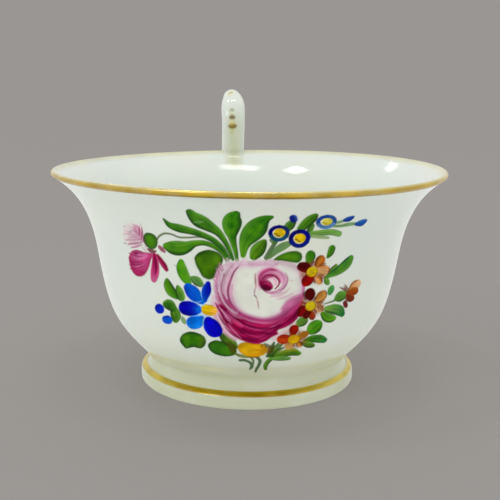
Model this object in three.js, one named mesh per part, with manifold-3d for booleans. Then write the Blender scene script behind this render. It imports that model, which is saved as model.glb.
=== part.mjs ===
// Demitasse cup: a flared porcelain bowl on a turned foot ring, with a high strap handle behind it,
// gilded lines and an enamelled flower spray on the front. Millimetres, +Z up, handle towards +Y.
import * as THREE from 'three';
import { mergeVertices } from 'three/addons/utils/BufferGeometryUtils.js';
import Module from 'manifold-3d';

const wasm = await Module();
wasm.setup();

// Bowl sizes; a lean is an angle from upright, in degrees
const RIM_RADIUS = 40;
const RIM_HEIGHT = 44;
const RIM_LEAN = 57;
const WAIST_RADIUS = 31.1;
const WAIST_HEIGHT = 27.6;
const WAIST_LEAN = 9.2;
const BASE_RADIUS = 20.5;
const BASE_LEAN = 45;
const LIP_THICKNESS = 1;
const WALL_THICKNESS = 2.2;
const FLOOR_THICKNESS = 2.5;

// How full each curve of the bowl is at its two ends, as shares of the straight distance
const BELLY_FULLNESS = { start: 0.43, end: 0.53 };
const FLARE_FULLNESS = { start: 0.4, end: 0.36 };
const FLOOR_FULLNESS = { start: 0.6, end: 0.5 };

// Foot ring sizes
const FOOT_OVERHANG = 1.9;
const NECK_STEP = 0.5;
const FOOT_HEIGHT = 5.3;
const PLINTH_HEIGHT = 2.5;
const SOLE_EDGE = 0.4;
const SOLE_WIDTH = 3.1;
const SHOULDER_RISE = 0.9;
const RING_WALL = 2.9;

// Handle sizes
const HANDLE_RISE = 15.2;
const HANDLE_REACH = 14;
const STEM_RISE = 6;
const STEM_INSET = 2.3;
const BACK_DROP = 12;
const LOW_HEIGHT = 15;
const LOW_SLOPE = 10;
const ROOT_DEPTH = 5.5;
const ROOT_LEAN = 65;
const SADDLE_DEPTH = 2.3;
const JOINT_GAP = 0.3;
const ROOT_SECTION = { width: 4.8, thickness: 4.2 };
const STEM_SECTION = { width: 5.8, thickness: 4.4 };
const CREST_SECTION = { width: 4.3, thickness: 4.1 };
const BACK_SECTION = { width: 4.6, thickness: 3.8 };
const LOW_SECTION = { width: 5.6, thickness: 4.2 };
const SECTION_SQUARENESS = 3;

// How full each stretch of the handle's line is at its two ends, from its root to its lower end
const ROOT_FULLNESS = { start: 0.35, end: 0.75 };
const RISE_FULLNESS = { start: 0.42, end: 0.38 };
const FALL_FULLNESS = { start: 0.3, end: 0.45 };
const RETURN_FULLNESS = { start: 0.42, end: 0.3 };

// Gilding sizes
const GILT_SEAT = 0.1;
const GILT_THICKNESS = 0.2;
const RIM_GILT_DEPTH = 1.1;
const RIM_GILT_INSIDE = 0.6;
const HUSK_FIRST_RISE = 6.1;
const HUSK_PITCH = 2.1;
const HUSK_WIDTHS = [2, 1.5, 1.1];
const HUSK_HEIGHT = 0.7;
const TIP_MARK_FROM_CREST = 2;
const TIP_MARK_SIZE = { width: 0.8, height: 1 };

// Enamel sizes
const ENAMEL_SEAT = 0.25;
const ENAMEL_THICKNESS = 0.25;
const SPRAY_FOOT_MARGIN = 3.6;
const SPRAY_RIM_MARGIN = 5;
const SPRAY_TURN = -6;

// Facets
const ROUND_SEGMENTS = 40;
const STRAP_STEPS = 30;
const SECTION_SIDES = 12;
const LIP_STEPS = 4;
const CURVE_STEPS = 6;
const LEAF_STEPS = 5;

// The spray is drawn 36 mm high and then fitted to its field: u runs to the right, v up from its foot
const SPRAY_DRAWN_HEIGHT = 36;

const BLOOMS = {
  rose: { u: 2.2, v: 17.2, radius: 7.5, petals: 7, notch: 0.07, rings: 3, colour: 0xd9a0b4 },
  anemone: { u: -9.6, v: 15.8, radius: 3.6, petals: 5, notch: 0.22, rings: 2, colour: 0x1f3fa8 },
  carnation: { u: -21.4, v: 24, radius: 2.8, petals: 7, notch: 0.12, rings: 2, colour: 0xb0305e },
  carnation_fringe: { u: -22.6, v: 29.7, radius: 1.9, petals: 6, notch: 0.14, rings: 1, colour: 0xe0b8c8 },
  primrose_1: { u: 12.3, v: 23, radius: 2.5, petals: 5, notch: 0.2, rings: 1, colour: 0xc8562a },
  primrose_2: { u: 12.7, v: 16.4, radius: 2.5, petals: 5, notch: 0.2, rings: 1, colour: 0xb8402a },
  primrose_3: { u: 8.9, v: 9.3, radius: 2.3, petals: 5, notch: 0.2, rings: 1, colour: 0xc84a20 },
  yellow_flower: { u: 1, v: 7, radius: 1.9, petals: 5, notch: 0.16, rings: 1, colour: 0xd8a428 },
  forget_me_not_1: { u: 5.5, v: 31.1, radius: 1.5, petals: 5, notch: 0.15, rings: 1, colour: 0x3a66b8 },
  forget_me_not_2: { u: 9.2, v: 29.6, radius: 1.7, petals: 5, notch: 0.15, rings: 1, colour: 0x1c3c98 },
  forget_me_not_3: { u: 14, v: 33, radius: 1.4, petals: 5, notch: 0.15, rings: 1, colour: 0x4a74c0 },
  berry_1: { u: -16.9, v: 14.6, radius: 0.85, petals: 4, notch: 0, rings: 1, colour: 0x1c3ca0 },
  berry_2: { u: -15.1, v: 12.7, radius: 0.8, petals: 4, notch: 0, rings: 1, colour: 0x1c3ca0 },
};

// Each blade runs from its base to its tip; bow pushes its middle to the left of that line
const BLADES = {
  leaf_1: { base: [-8.6, 30.7], tip: [-15.3, 33.2], width: 1.6, bow: 0.3 },
  leaf_2: { base: [-3.4, 28.3], tip: [-10.3, 35.8], width: 2.2, bow: -0.3 },
  leaf_3: { base: [-1.8, 26.2], tip: [-2.2, 36], width: 2.8, bow: 0.3 },
  leaf_4: { base: [-0.5, 26.5], tip: [4.3, 34.9], width: 2, bow: 0.9 },
  leaf_5: { base: [-4.6, 27.3], tip: [-15.6, 27], width: 1.9, bow: -0.4 },
  leaf_6: { base: [-4.6, 24.6], tip: [-9.2, 23.6], width: 2.9, bow: 0 },
  leaf_7: { base: [-10.5, 20.8], tip: [-11.9, 25], width: 1.7, bow: 0 },
  leaf_8: { base: [-13.2, 17.6], tip: [-15.1, 21], width: 1.6, bow: 0 },
  leaf_9: { base: [-13.3, 13.1], tip: [-15.5, 16.1], width: 1.4, bow: 0 },
  leaf_10: { base: [-7.6, 9.6], tip: [-12.6, 8.3], width: 2.6, bow: 0 },
  leaf_11: { base: [-2, 8.7], tip: [-7, 6.6], width: 2.2, bow: 0 },
  leaf_12: { base: [2.3, 25.5], tip: [2.5, 29], width: 1.7, bow: 0 },
  leaf_13: { base: [4.8, 26], tip: [9.6, 26.6], width: 1.5, bow: 0 },
  leaf_14: { base: [9.6, 32], tip: [11.9, 34.7], width: 1.2, bow: 0 },
  leaf_15: { base: [11.8, 29.9], tip: [17.3, 30.4], width: 1.1, bow: 0 },
  leaf_16: { base: [15.3, 25.6], tip: [15.6, 27.7], width: 1, bow: 0 },
  leaf_17: { base: [15.8, 21.4], tip: [20.4, 25.2], width: 1.9, bow: 0.2 },
  leaf_18: { base: [16.2, 16.4], tip: [19.3, 18.4], width: 1.3, bow: 0 },
  leaf_19: { base: [14.6, 12.8], tip: [19.1, 14.9], width: 1.6, bow: 0 },
  leaf_20: { base: [11.8, 10.3], tip: [13.9, 11.8], width: 1.2, bow: 0 },
  leaf_21: { base: [11.3, 7.7], tip: [15.7, 9], width: 1.4, bow: 0 },
  leaf_22: { base: [4.1, 1.8], tip: [10.4, 5.6], width: 1.3, bow: 0.6 },
  stem_1: { base: [1.1, 1.5], tip: [-0.8, 4.3], width: 0.7, bow: 0.2, colour: 0x6a7a30 },
  stem_2: { base: [1.8, 0.1], tip: [2.1, 4.6], width: 0.6, bow: 0, colour: 0x6a7a30 },
  carnation_calyx: { base: [-17.2, 29], tip: [-19.7, 26.8], width: 1.9, bow: 0, colour: 0x4c8a34 },
  orange_bud: { base: [19.8, 16], tip: [23, 20], width: 2.3, bow: 0, colour: 0xd8823a },
  forget_me_not_bud_1: { base: [7.2, 33.8], tip: [8.4, 34.3], width: 1, bow: 0, colour: 0x1c3c98 },
  forget_me_not_bud_2: { base: [17.5, 33.1], tip: [19.3, 33.6], width: 0.9, bow: 0, colour: 0x1c3c98 },
  forget_me_not_bud_3: { base: [20.5, 32], tip: [22.4, 32.6], width: 0.9, bow: 0, colour: 0x1c3c98 },
};

const PORCELAIN = { color: 0xe4e8de, roughness: 0.12, metalness: 0 };
const GOLD = { color: 0xb8923a, roughness: 0.3, metalness: 1 };
const LEAF_GREEN = 0x4c8a28;

const cup = new THREE.Group();

function addPart(name, geometry, finish) {
  const mesh = new THREE.Mesh(geometry, new THREE.MeshStandardMaterial(finish));
  mesh.name = name;
  cup.add(mesh);
}

function enamel(colour) {
  return { color: colour, roughness: 0.2, metalness: 0 };
}

// Outlines of the bowl, as points (radius, height)
function point(radius, height) {
  return new THREE.Vector2(radius, height);
}

function alongLean(lean) {
  const angle = THREE.MathUtils.degToRad(lean);
  return point(Math.sin(angle), Math.cos(angle));
}

function outOfWall(lean) {
  const angle = THREE.MathUtils.degToRad(lean);
  return point(Math.cos(angle), -Math.sin(angle));
}

function arcBetween(start, startDirection, end, endDirection, fullness) {
  const distance = start.distanceTo(end);
  return new THREE.CubicBezierCurve(
    start,
    start.clone().addScaledVector(startDirection, fullness.start * distance),
    end.clone().addScaledVector(endDirection, -fullness.end * distance),
    end,
  );
}

const lipCentre = point(RIM_RADIUS - LIP_THICKNESS / 2, RIM_HEIGHT - LIP_THICKNESS / 2);
const lipOutside = lipCentre.clone().addScaledVector(outOfWall(RIM_LEAN), LIP_THICKNESS / 2);
const lipInside = lipCentre.clone().addScaledVector(outOfWall(RIM_LEAN), -LIP_THICKNESS / 2);
const waistOutside = point(WAIST_RADIUS, WAIST_HEIGHT);
const waistInside = waistOutside.clone().addScaledVector(outOfWall(WAIST_LEAN), -WALL_THICKNESS);
const baseEdge = point(BASE_RADIUS, FOOT_HEIGHT);
const floorCentre = point(0, FOOT_HEIGHT + FLOOR_THICKNESS);
const acrossFloor = point(1, 0);
const baseWay = alongLean(BASE_LEAN);
const waistWay = alongLean(WAIST_LEAN);
const rimWay = alongLean(RIM_LEAN);

const outerWall = new THREE.CurvePath();
outerWall.add(arcBetween(baseEdge, baseWay, waistOutside, waistWay, BELLY_FULLNESS));
outerWall.add(arcBetween(waistOutside, waistWay, lipOutside, rimWay, FLARE_FULLNESS));
const wallLength = outerWall.getLength();

const innerBelly = arcBetween(floorCentre, acrossFloor, waistInside, waistWay, FLOOR_FULLNESS);
const innerFlare = arcBetween(waistInside, waistWay, lipInside, rimWay, FLARE_FULLNESS);

function outerPoints() {
  return outerWall.getPoints(CURVE_STEPS);
}

function innerPoints() {
  const down = innerFlare.getPoints(CURVE_STEPS).reverse();
  return down.concat(innerBelly.getPoints(CURVE_STEPS).reverse().slice(1));
}

function lipPoints() {
  const start = THREE.MathUtils.degToRad(-RIM_LEAN);
  const points = [];
  for (let step = 1; step < LIP_STEPS; step++) {
    const angle = start + (Math.PI * step) / LIP_STEPS;
    const outwards = point(Math.cos(angle), Math.sin(angle));
    points.push(lipCentre.clone().addScaledVector(outwards, LIP_THICKNESS / 2));
  }
  return points;
}

// The same line moved sideways, to the right of the way it runs
function moveLine(points, distance) {
  return points.map((here, index) => {
    const before = points[Math.max(index - 1, 0)];
    const after = points[Math.min(index + 1, points.length - 1)];
    const run = after.clone().sub(before).normalize();
    return point(Math.max(here.x + run.y * distance, 0), here.y - run.x * distance);
  });
}

// Where a line of points crosses a height
function radiusAtHeight(points, height) {
  for (let index = 1; index < points.length; index++) {
    const low = points[index - 1];
    const high = points[index];
    if ((low.y - height) * (high.y - height) <= 0 && low.y !== high.y) {
      return THREE.MathUtils.lerp(low.x, high.x, (height - low.y) / (high.y - low.y));
    }
  }
  return points[points.length - 1].x;
}

function turned(points) {
  const geometry = new THREE.LatheGeometry(points, ROUND_SEGMENTS);
  geometry.rotateX(Math.PI / 2);
  return geometry;
}

// A thin turned band lying on a line of the surface
function turnedBand(line) {
  const seat = moveLine(line, GILT_SEAT);
  const face = moveLine(line, GILT_SEAT + GILT_THICKNESS);
  return turned([...face, ...seat.reverse(), face[0]]);
}

// Boolean cuts
function toSolid(geometry) {
  const bare = geometry.clone();
  bare.deleteAttribute('normal');
  bare.deleteAttribute('uv');
  const merged = mergeVertices(bare);
  return new wasm.Manifold(new wasm.Mesh({
    numProp: 3,
    vertProperties: merged.getAttribute('position').array,
    triVerts: new Uint32Array(merged.getIndex().array),
  }));
}

function toGeometry(solid) {
  const mesh = solid.getMesh();
  const geometry = new THREE.BufferGeometry();
  geometry.setAttribute('position', new THREE.BufferAttribute(mesh.vertProperties, 3));
  geometry.setIndex(new THREE.BufferAttribute(mesh.triVerts, 1));
  geometry.computeVertexNormals();
  return geometry;
}

function indexedGeometry(corners, triangles) {
  const geometry = new THREE.BufferGeometry().setFromPoints(corners);
  geometry.setIndex(triangles);
  geometry.computeVertexNormals();
  return geometry;
}

// Bowl
const baseCentre = point(0, FOOT_HEIGHT);
addPart('bowl', turned([baseCentre, ...outerPoints(), ...lipPoints(), ...innerPoints()]), PORCELAIN);

// Foot ring, flat against the base of the bowl
const footRadius = BASE_RADIUS + FOOT_OVERHANG;
const plinthTop = point(footRadius, PLINTH_HEIGHT);
const shoulderTop = point(BASE_RADIUS + NECK_STEP, PLINTH_HEIGHT + SHOULDER_RISE);
const soleOutside = point(footRadius - SOLE_EDGE, 0);
const soleInside = point(footRadius - SOLE_EDGE - SOLE_WIDTH, 0);
const neckFoot = point((shoulderTop.x + BASE_RADIUS) / 2, (shoulderTop.y + FOOT_HEIGHT) / 2);
addPart('foot_ring', turned([
  soleOutside,
  point(footRadius, SOLE_EDGE),
  plinthTop,
  shoulderTop,
  neckFoot,
  baseEdge,
  point(BASE_RADIUS - RING_WALL, FOOT_HEIGHT),
  soleInside,
  soleOutside,
]), PORCELAIN);

// Centre line of the handle, as points (distance from the axis, height)
const risingLine = RIM_RADIUS - STEM_INSET + STEM_SECTION.thickness / 2;
const backLine = RIM_RADIUS + HANDLE_REACH - BACK_SECTION.thickness / 2;
const crestHeight = RIM_HEIGHT + HANDLE_RISE - CREST_SECTION.thickness / 2;
const rootHeight = RIM_HEIGHT - ROOT_DEPTH;

const handleRoot = point(radiusAtHeight(outerPoints(), rootHeight) - WALL_THICKNESS, rootHeight);
const handleStem = point(risingLine, RIM_HEIGHT + STEM_RISE);
const handleCrest = point((risingLine + backLine) / 2, crestHeight);
const handleBack = point(backLine, crestHeight - BACK_DROP);
const handleLow = point(radiusAtHeight(outerPoints(), LOW_HEIGHT) - WALL_THICKNESS, LOW_HEIGHT);

const upwards = point(0, 1);
const backwards = point(1, 0);
const downwards = point(0, -1);
const lowSlope = THREE.MathUtils.degToRad(LOW_SLOPE);
const inwards = point(-Math.cos(lowSlope), -Math.sin(lowSlope));

const handleLine = new THREE.CurvePath();
handleLine.add(arcBetween(handleRoot, alongLean(ROOT_LEAN), handleStem, upwards, ROOT_FULLNESS));
handleLine.add(arcBetween(handleStem, upwards, handleCrest, backwards, RISE_FULLNESS));
handleLine.add(arcBetween(handleCrest, backwards, handleBack, downwards, FALL_FULLNESS));
handleLine.add(arcBetween(handleBack, downwards, handleLow, inwards, RETURN_FULLNESS));

const handleSections = [ROOT_SECTION, STEM_SECTION, CREST_SECTION, BACK_SECTION, LOW_SECTION];
const handleLength = handleLine.getLength();
const sectionPlaces = [0, ...handleLine.getCurveLengths()];

function handleSection(distance) {
  const inner = sectionPlaces.slice(1, -1);
  const stretch = inner.filter((place) => place < distance).length;
  const stretchLength = sectionPlaces[stretch + 1] - sectionPlaces[stretch];
  const share = (distance - sectionPlaces[stretch]) / stretchLength;
  const from = handleSections[stretch];
  const to = handleSections[stretch + 1];
  return {
    width: THREE.MathUtils.lerp(from.width, to.width, share),
    thickness: THREE.MathUtils.lerp(from.thickness, to.thickness, share),
  };
}

// A point at a distance along the handle, moved across it and out of its front face
function onHandle(across, distance, out) {
  const share = THREE.MathUtils.clamp(distance / handleLength, 0, 1);
  const middle = handleLine.getPointAt(share);
  const run = handleLine.getTangentAt(share);
  return new THREE.Vector3(across, middle.x - run.y * out, middle.y + run.x * out);
}

function rounded(value) {
  return Math.sign(value) * Math.abs(value) ** (2 / SECTION_SQUARENESS);
}

function strap(grow) {
  const corners = [];
  const triangles = [];
  for (let step = 0; step <= STRAP_STEPS; step++) {
    const distance = (handleLength * step) / STRAP_STEPS;
    const { width, thickness } = handleSection(distance);
    for (let side = 0; side < SECTION_SIDES; side++) {
      const angle = (2 * Math.PI * (side + 0.5)) / SECTION_SIDES;
      const across = rounded(Math.cos(angle)) * (width / 2 + grow);
      const out = rounded(Math.sin(angle)) * (thickness / 2 + grow);
      corners.push(onHandle(across, distance, out));
    }
  }
  for (let step = 0; step < STRAP_STEPS; step++) {
    for (let side = 0; side < SECTION_SIDES; side++) {
      const here = step * SECTION_SIDES + side;
      const beside = step * SECTION_SIDES + ((side + 1) % SECTION_SIDES);
      triangles.push(here, beside + SECTION_SIDES, beside);
      triangles.push(here, here + SECTION_SIDES, beside + SECTION_SIDES);
    }
  }
  const last = STRAP_STEPS * SECTION_SIDES;
  for (let side = 1; side < SECTION_SIDES - 1; side++) {
    triangles.push(0, side, side + 1, last, last + side + 1, last + side);
  }
  return toSolid(indexedGeometry(corners, triangles));
}

// The room that the bowl takes from the handle: its wall with the joint round it, filled inside up to
// the foot of the saddle
function bowlRoom() {
  const flareDown = innerFlare.getPoints(CURVE_STEPS).reverse();
  const skin = moveLine([...outerPoints(), ...lipPoints(), ...flareDown], JOINT_GAP);
  const saddleFoot = RIM_HEIGHT - SADDLE_DEPTH;
  const lipTop = skin.reduce((best, here, index) => (here.y > skin[best].y ? index : best), 0);
  const inside = skin.slice(lipTop + 1).filter((here) => here.y > saddleFoot);
  const foot = point(radiusAtHeight(skin.slice(lipTop), saddleFoot), saddleFoot);
  const bottom = point(0, skin[0].y);
  return toSolid(turned([bottom, ...skin.slice(0, lipTop + 1), ...inside, foot, point(0, saddleFoot)]));
}

addPart('handle', toGeometry(strap(0).subtract(bowlRoom())), PORCELAIN);

// Gold band over the lip, left open where the handle stands on it
const rimGiltOutside = [RIM_GILT_DEPTH, RIM_GILT_DEPTH / 2, 0].map(
  (depth) => outerWall.getPointAt(1 - depth / wallLength),
);
const rimGiltInside = [0, RIM_GILT_INSIDE].map(
  (depth) => innerFlare.getPointAt(1 - depth / innerFlare.getLength()),
);
const rimBand = toSolid(turnedBand([...rimGiltOutside, ...lipPoints(), ...rimGiltInside]));
addPart('rim_gilding', toGeometry(rimBand.subtract(strap(JOINT_GAP))), GOLD);

// Gold line on the shoulder of the foot ring
addPart('foot_gilding', turnedBand([plinthTop, shoulderTop]), GOLD);

// A thin plate on a curved surface: corners (u, v) and triangles in the surface, then the two faces
// that they make at the seat and at the seat plus the thickness
function plate(place, corners, triangles, outline, seat, thickness) {
  const count = corners.length;
  const low = corners.map(([u, v]) => place(u, v, seat));
  const high = corners.map(([u, v]) => place(u, v, seat + thickness));
  const faces = [];
  for (const [a, b, c] of triangles) {
    faces.push(c, b, a, a + count, b + count, c + count);
  }
  outline.forEach((from, index) => {
    const to = outline[(index + 1) % outline.length];
    faces.push(from, to, to + count, from, to + count, from + count);
  });
  return indexedGeometry([...low, ...high], faces);
}

// A lobed round plate, as rings of corners about its middle
function bloomPlate({ u, v, radius, petals, notch, rings }) {
  const spokes = petals * 3;
  const corners = [[u, v]];
  const triangles = [];
  for (let ring = 1; ring <= rings; ring++) {
    for (let spoke = 0; spoke < spokes; spoke++) {
      const angle = (2 * Math.PI * spoke) / spokes;
      const lobe = 1 - notch * (1 + Math.cos(petals * angle)) / 2;
      const reach = (radius * lobe * ring) / rings;
      corners.push([u + reach * Math.cos(angle), v + reach * Math.sin(angle)]);
    }
  }
  const at = (ring, spoke) => 1 + (ring - 1) * spokes + (spoke % spokes);
  for (let spoke = 0; spoke < spokes; spoke++) {
    triangles.push([0, at(1, spoke), at(1, spoke + 1)]);
    for (let ring = 1; ring < rings; ring++) {
      triangles.push([at(ring, spoke), at(ring + 1, spoke), at(ring + 1, spoke + 1)]);
      triangles.push([at(ring, spoke), at(ring + 1, spoke + 1), at(ring, spoke + 1)]);
    }
  }
  const outline = Array.from({ length: spokes }, (_, spoke) => at(rings, spoke));
  return plate(onSpray, corners, triangles, outline, ENAMEL_SEAT, ENAMEL_THICKNESS);
}

// A pointed plate from base to tip, as pairs of corners beside its bowed middle line
function bladePlate(place, { base, tip, width, bow }, seat, thickness) {
  const start = point(...base);
  const end = point(...tip);
  const run = end.clone().sub(start).normalize();
  const left = point(-run.y, run.x);
  const bend = start.clone().add(end).multiplyScalar(0.5).addScaledVector(left, 2 * bow);
  const middle = new THREE.QuadraticBezierCurve(start, bend, end);
  const corners = [base];
  for (let step = 1; step < LEAF_STEPS; step++) {
    const share = step / LEAF_STEPS;
    const reach = (width / 2) * Math.sin(Math.PI * share);
    for (const side of [reach, -reach]) {
      corners.push(middle.getPoint(share).addScaledVector(left, side).toArray());
    }
  }
  corners.push(tip);
  const last = corners.length - 1;
  const triangles = [[0, 2, 1], [last - 2, last - 1, last]];
  for (let pair = 1; pair < last - 2; pair += 2) {
    triangles.push([pair, pair + 1, pair + 3], [pair, pair + 3, pair + 2]);
  }
  const rightSide = Array.from({ length: LEAF_STEPS - 1 }, (_, step) => 2 * step + 2);
  const leftSide = rightSide.map((corner) => corner - 1).reverse();
  return plate(place, corners, triangles, [0, ...rightSide, last, ...leftSide], seat, thickness);
}

// Gold husks up the front of the handle, with a mark near its crest
const rimPlace = sectionPlaces[1] - STEM_RISE;

function onHandleFront(across, distance, lift) {
  return onHandle(across, distance, handleSection(distance).thickness / 2 + lift);
}

function huskPlate(distance, width, height) {
  const husk = { base: [-width / 2, distance], tip: [width / 2, distance], width: height, bow: 0 };
  return bladePlate(onHandleFront, husk, GILT_SEAT, GILT_THICKNESS);
}

HUSK_WIDTHS.forEach((width, index) => {
  const distance = rimPlace + HUSK_FIRST_RISE + index * HUSK_PITCH;
  addPart(`handle_husk_${index + 1}`, huskPlate(distance, width, HUSK_HEIGHT), GOLD);
});
const tipDistance = sectionPlaces[2] - TIP_MARK_FROM_CREST;
addPart('handle_tip_mark', huskPlate(tipDistance, TIP_MARK_SIZE.width, TIP_MARK_SIZE.height), GOLD);

// Flower spray, on the outside of the bowl
const sprayScale = (wallLength - SPRAY_FOOT_MARGIN - SPRAY_RIM_MARGIN) / SPRAY_DRAWN_HEIGHT;

function onSpray(u, v, lift) {
  const share = (SPRAY_FOOT_MARGIN + v * sprayScale) / wallLength;
  const wall = outerWall.getPointAt(share);
  const run = outerWall.getTangentAt(share);
  const angle = THREE.MathUtils.degToRad(SPRAY_TURN) + (u * sprayScale) / wall.x;
  const radius = wall.x + run.y * lift;
  return new THREE.Vector3(radius * Math.sin(angle), -radius * Math.cos(angle), wall.y - run.x * lift);
}

for (const [name, bloom] of Object.entries(BLOOMS)) {
  addPart(name, bloomPlate(bloom), enamel(bloom.colour));
}
for (const [name, blade] of Object.entries(BLADES)) {
  const geometry = bladePlate(onSpray, blade, ENAMEL_SEAT, ENAMEL_THICKNESS);
  addPart(name, geometry, enamel(blade.colour ?? LEAF_GREEN));
}

// The origin is under the middle of the cup's box, on the surface that it stands on
const extent = new THREE.Box3().setFromObject(cup);
cup.position.y = -(extent.min.y + extent.max.y) / 2;

export default cup;
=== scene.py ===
"""Demitasse cup: a glazed bowl, foot ring and handle, worn gilding and a painted flower spray."""
import math

import bpy
import numpy as np
from mathutils import Matrix, Vector


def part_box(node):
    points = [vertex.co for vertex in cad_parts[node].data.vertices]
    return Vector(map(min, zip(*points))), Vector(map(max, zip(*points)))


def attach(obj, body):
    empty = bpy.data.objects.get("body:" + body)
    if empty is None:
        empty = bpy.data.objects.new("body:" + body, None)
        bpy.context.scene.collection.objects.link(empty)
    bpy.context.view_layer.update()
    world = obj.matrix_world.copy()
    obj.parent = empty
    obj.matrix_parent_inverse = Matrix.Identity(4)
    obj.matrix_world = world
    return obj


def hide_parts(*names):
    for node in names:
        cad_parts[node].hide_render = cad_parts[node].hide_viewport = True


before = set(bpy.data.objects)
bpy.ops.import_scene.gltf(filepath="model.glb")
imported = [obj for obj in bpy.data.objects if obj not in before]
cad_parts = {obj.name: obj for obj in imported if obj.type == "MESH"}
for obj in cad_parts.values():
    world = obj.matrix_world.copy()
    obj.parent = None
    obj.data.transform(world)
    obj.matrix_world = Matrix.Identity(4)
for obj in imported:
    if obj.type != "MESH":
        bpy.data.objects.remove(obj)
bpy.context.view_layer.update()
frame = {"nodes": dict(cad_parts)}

# Lengths are in millimetres until a mesh is made; a lean is an angle from upright, in degrees
MM = 0.001
TINY = 1e-6
TINIEST = 1e-9
RIM_RADIUS = 40.0
RIM_HEIGHT = 44.36
RIM_LEAN = 57
WAIST_RADIUS = 31.1
WAIST_HEIGHT = 27.96
WAIST_LEAN = 9.2
BASE_RADIUS = 20.5
BASE_LEAN = 45
LIP_THICKNESS = 1.0
WALL_THICKNESS = 2.2
FLOOR_THICKNESS = 2.5

# How full each curve is at its two ends, as shares of the straight distance
BELLY_FULLNESS = (0.43, 0.53)
FLARE_FULLNESS = (0.4, 0.36)
FLOOR_FULLNESS = (0.6, 0.5)
NECK_FULLNESS = (0.45, 0.5)

# Foot ring
FOOT_HEIGHT = 5.66
FOOT_RADIUS = BASE_RADIUS + 1.9
SHOULDER_RADIUS = BASE_RADIUS + 0.5
SHOULDER_HEIGHT = 3.58
PLINTH_HEIGHT = 2.68
SOLE_WIDTH = 3.1
SOLE_EDGE = 0.4
RING_WALL = 2.9
NECK_REACH = 2.6
NECK_SINK = 0.006
NECK_LEAN = 18
RING_TUCK = 0.2
FOOT_ROUNDING = 0.75

# Handle: sections are (width, thickness, squareness)
HANDLE_RISE = 14.7
HANDLE_REACH = 14.0
STEM_RISE = 6.0
STEM_INSET = 2.3
BACK_DROP = 12.0
LOW_HEIGHT = 15.36
LOW_SLOPE = 10
ROOT_DEPTH = 5.5
ROOT_LEAN = 65
ROOT_SECTION = (4.4, 4.2, 2.7)
STEM_SECTION = (5.5, 4.4, 2.8)
SHOULDER_SECTION = (5.7, 4.3, 2.6)
CREST_SECTION = (3.9, 3.7, 2.0)
BACK_SECTION = (3.7, 3.8, 2.2)
LOW_SECTION = (5.6, 4.2, 2.6)
SHOULDER_SHARE = 0.45
ROOT_FULLNESS = (0.35, 0.75)
RISE_FULLNESS = (0.42, 0.38)
FALL_FULLNESS = (0.3, 0.45)
RETURN_FULLNESS = (0.42, 0.3)
JOIN_FILLET = 0.05
SADDLE_FOOT = 41.5
SADDLE_TOP = 44.96
SADDLE_SINK = 0.12
SADDLE_SETTLED = 44.02
SADDLE_EASE = 1.8

# Darker, yellower glaze: gathered glaze with painted shade below a height on the outside, and painted
# shade on the handle's face and foot and on the inner wall below the handle's foot
POOL_SHADE_TOP = 14
POOL_SHADE_DEPTH = 9
POOL_SHADE_MOST = 0.85
HANDLE_SHADE_TOP = 58
HANDLE_SHADE_DEPTH = 12
HANDLE_SHADE_HALF = 2.4
HANDLE_FOOT_SHADE_LOW = 39.9
HANDLE_FOOT_SHADE_FADE = 1.3
HANDLE_FOOT_SHADE_HALF = 2.6
SHADE_BULGE = 0.6

# Gilding
RIM_GILT_DEPTH = 0.75
RIM_GILT_INSIDE = 1.3
FOOT_GILT_PLACE = (0.2, 1.7)
GILT_LIFT = 0.02
GILT_INSET = (0.12, 0.1)
GILT_WANDER = (0.05, 0.04)
GILT_SOFT = 0.14
GILT_WORN_FROM = 0.45
GILT_WORN_GAIN = 2.2
GILT_BLOTCHES = (((3, 90), 0.6), ((5, 400), 0.4))
GILT_TONE = (0.9, 0.16)
GILT_TONE_CELLS = (2, 60)
RIM_WEAR = 0.15
FOOT_WEAR = 0.12
RIPPLE_TURN = 6.3
RIPPLE_WAVES = 9
HUSK_FIRST_RISE = 6.0
HUSK_PITCH = 1.75
TIP_MARK_FROM_CREST = 2.4
MARK_REACH = 1.9
MARK_START = 3

# The rim dried a little out of true: it rises to the right, and more so behind
RIM_TILT = 0.0092
RIM_TWIST = 0.009

# Enamel: where the spray lies, the borders of its canvas, and the thickness of the paint
SPRAY_TURN = -6
SPRAY_SHIFT = (-0.18, -0.29)
SPRAY_SHEET = (-27, 25, 2, 41)
PAINT_STEP = 0.11
PAINT_LIFT = 0.006
PAINT_RELIEF = 0.014
PAINT_SEAT = -0.04

# Mesh density
ROUND_SEGMENTS = 512
WALL_STEPS = 52
INSIDE_STEPS = 32
LIP_STEPS = 14
FOOT_STEPS = 10
NECK_STEPS = 40
HANDLE_STEPS = 150
HANDLE_SIDES = 56
BASE_STEPS = 12
GILT_SEGMENTS = 1200
RIM_GILT_STEPS = 12
FOOT_GILT_STEPS = 18
MARK_STEP = 0.08

# Photograph's camera
IMAGE_SIZE = 500
FOCAL_PIXELS = 915.5
SENSOR_WIDTH = 36
CAMERA_DISTANCE = 188.05
CAMERA_HEIGHT = 63.7
CAMERA_PITCH = 11.065
CAMERA_YAW = 0.096
CAMERA_ROLL = 0.811

rng = np.random.default_rng(11)
foot_low, foot_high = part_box("foot_ring")
AXIS_Y = (foot_low.y + foot_high.y) / 2 / MM


# Lines in the plane of the bowl's outline, as points (radius, height)
def along_lean(lean):
    """The way of a line with this lean, as (outwards, up)."""
    angle = math.radians(lean)
    return np.array([math.sin(angle), math.cos(angle)])


def out_of_wall(lean):
    """The outward normal of a wall with this lean."""
    angle = math.radians(lean)
    return np.array([math.cos(angle), -math.sin(angle)])


def arc(start, start_way, end, end_way, fullness, steps):
    """A cubic curve from start to end that leaves and arrives along the two ways."""
    distance = np.linalg.norm(end - start)
    first = start + start_way * fullness[0] * distance
    second = end - end_way * fullness[1] * distance
    t = np.linspace(0, 1, steps + 1)[:, None]
    return (1 - t) ** 3 * start + 3 * (1 - t) ** 2 * t * first + 3 * (1 - t) * t**2 * second + t**3 * end


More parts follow.
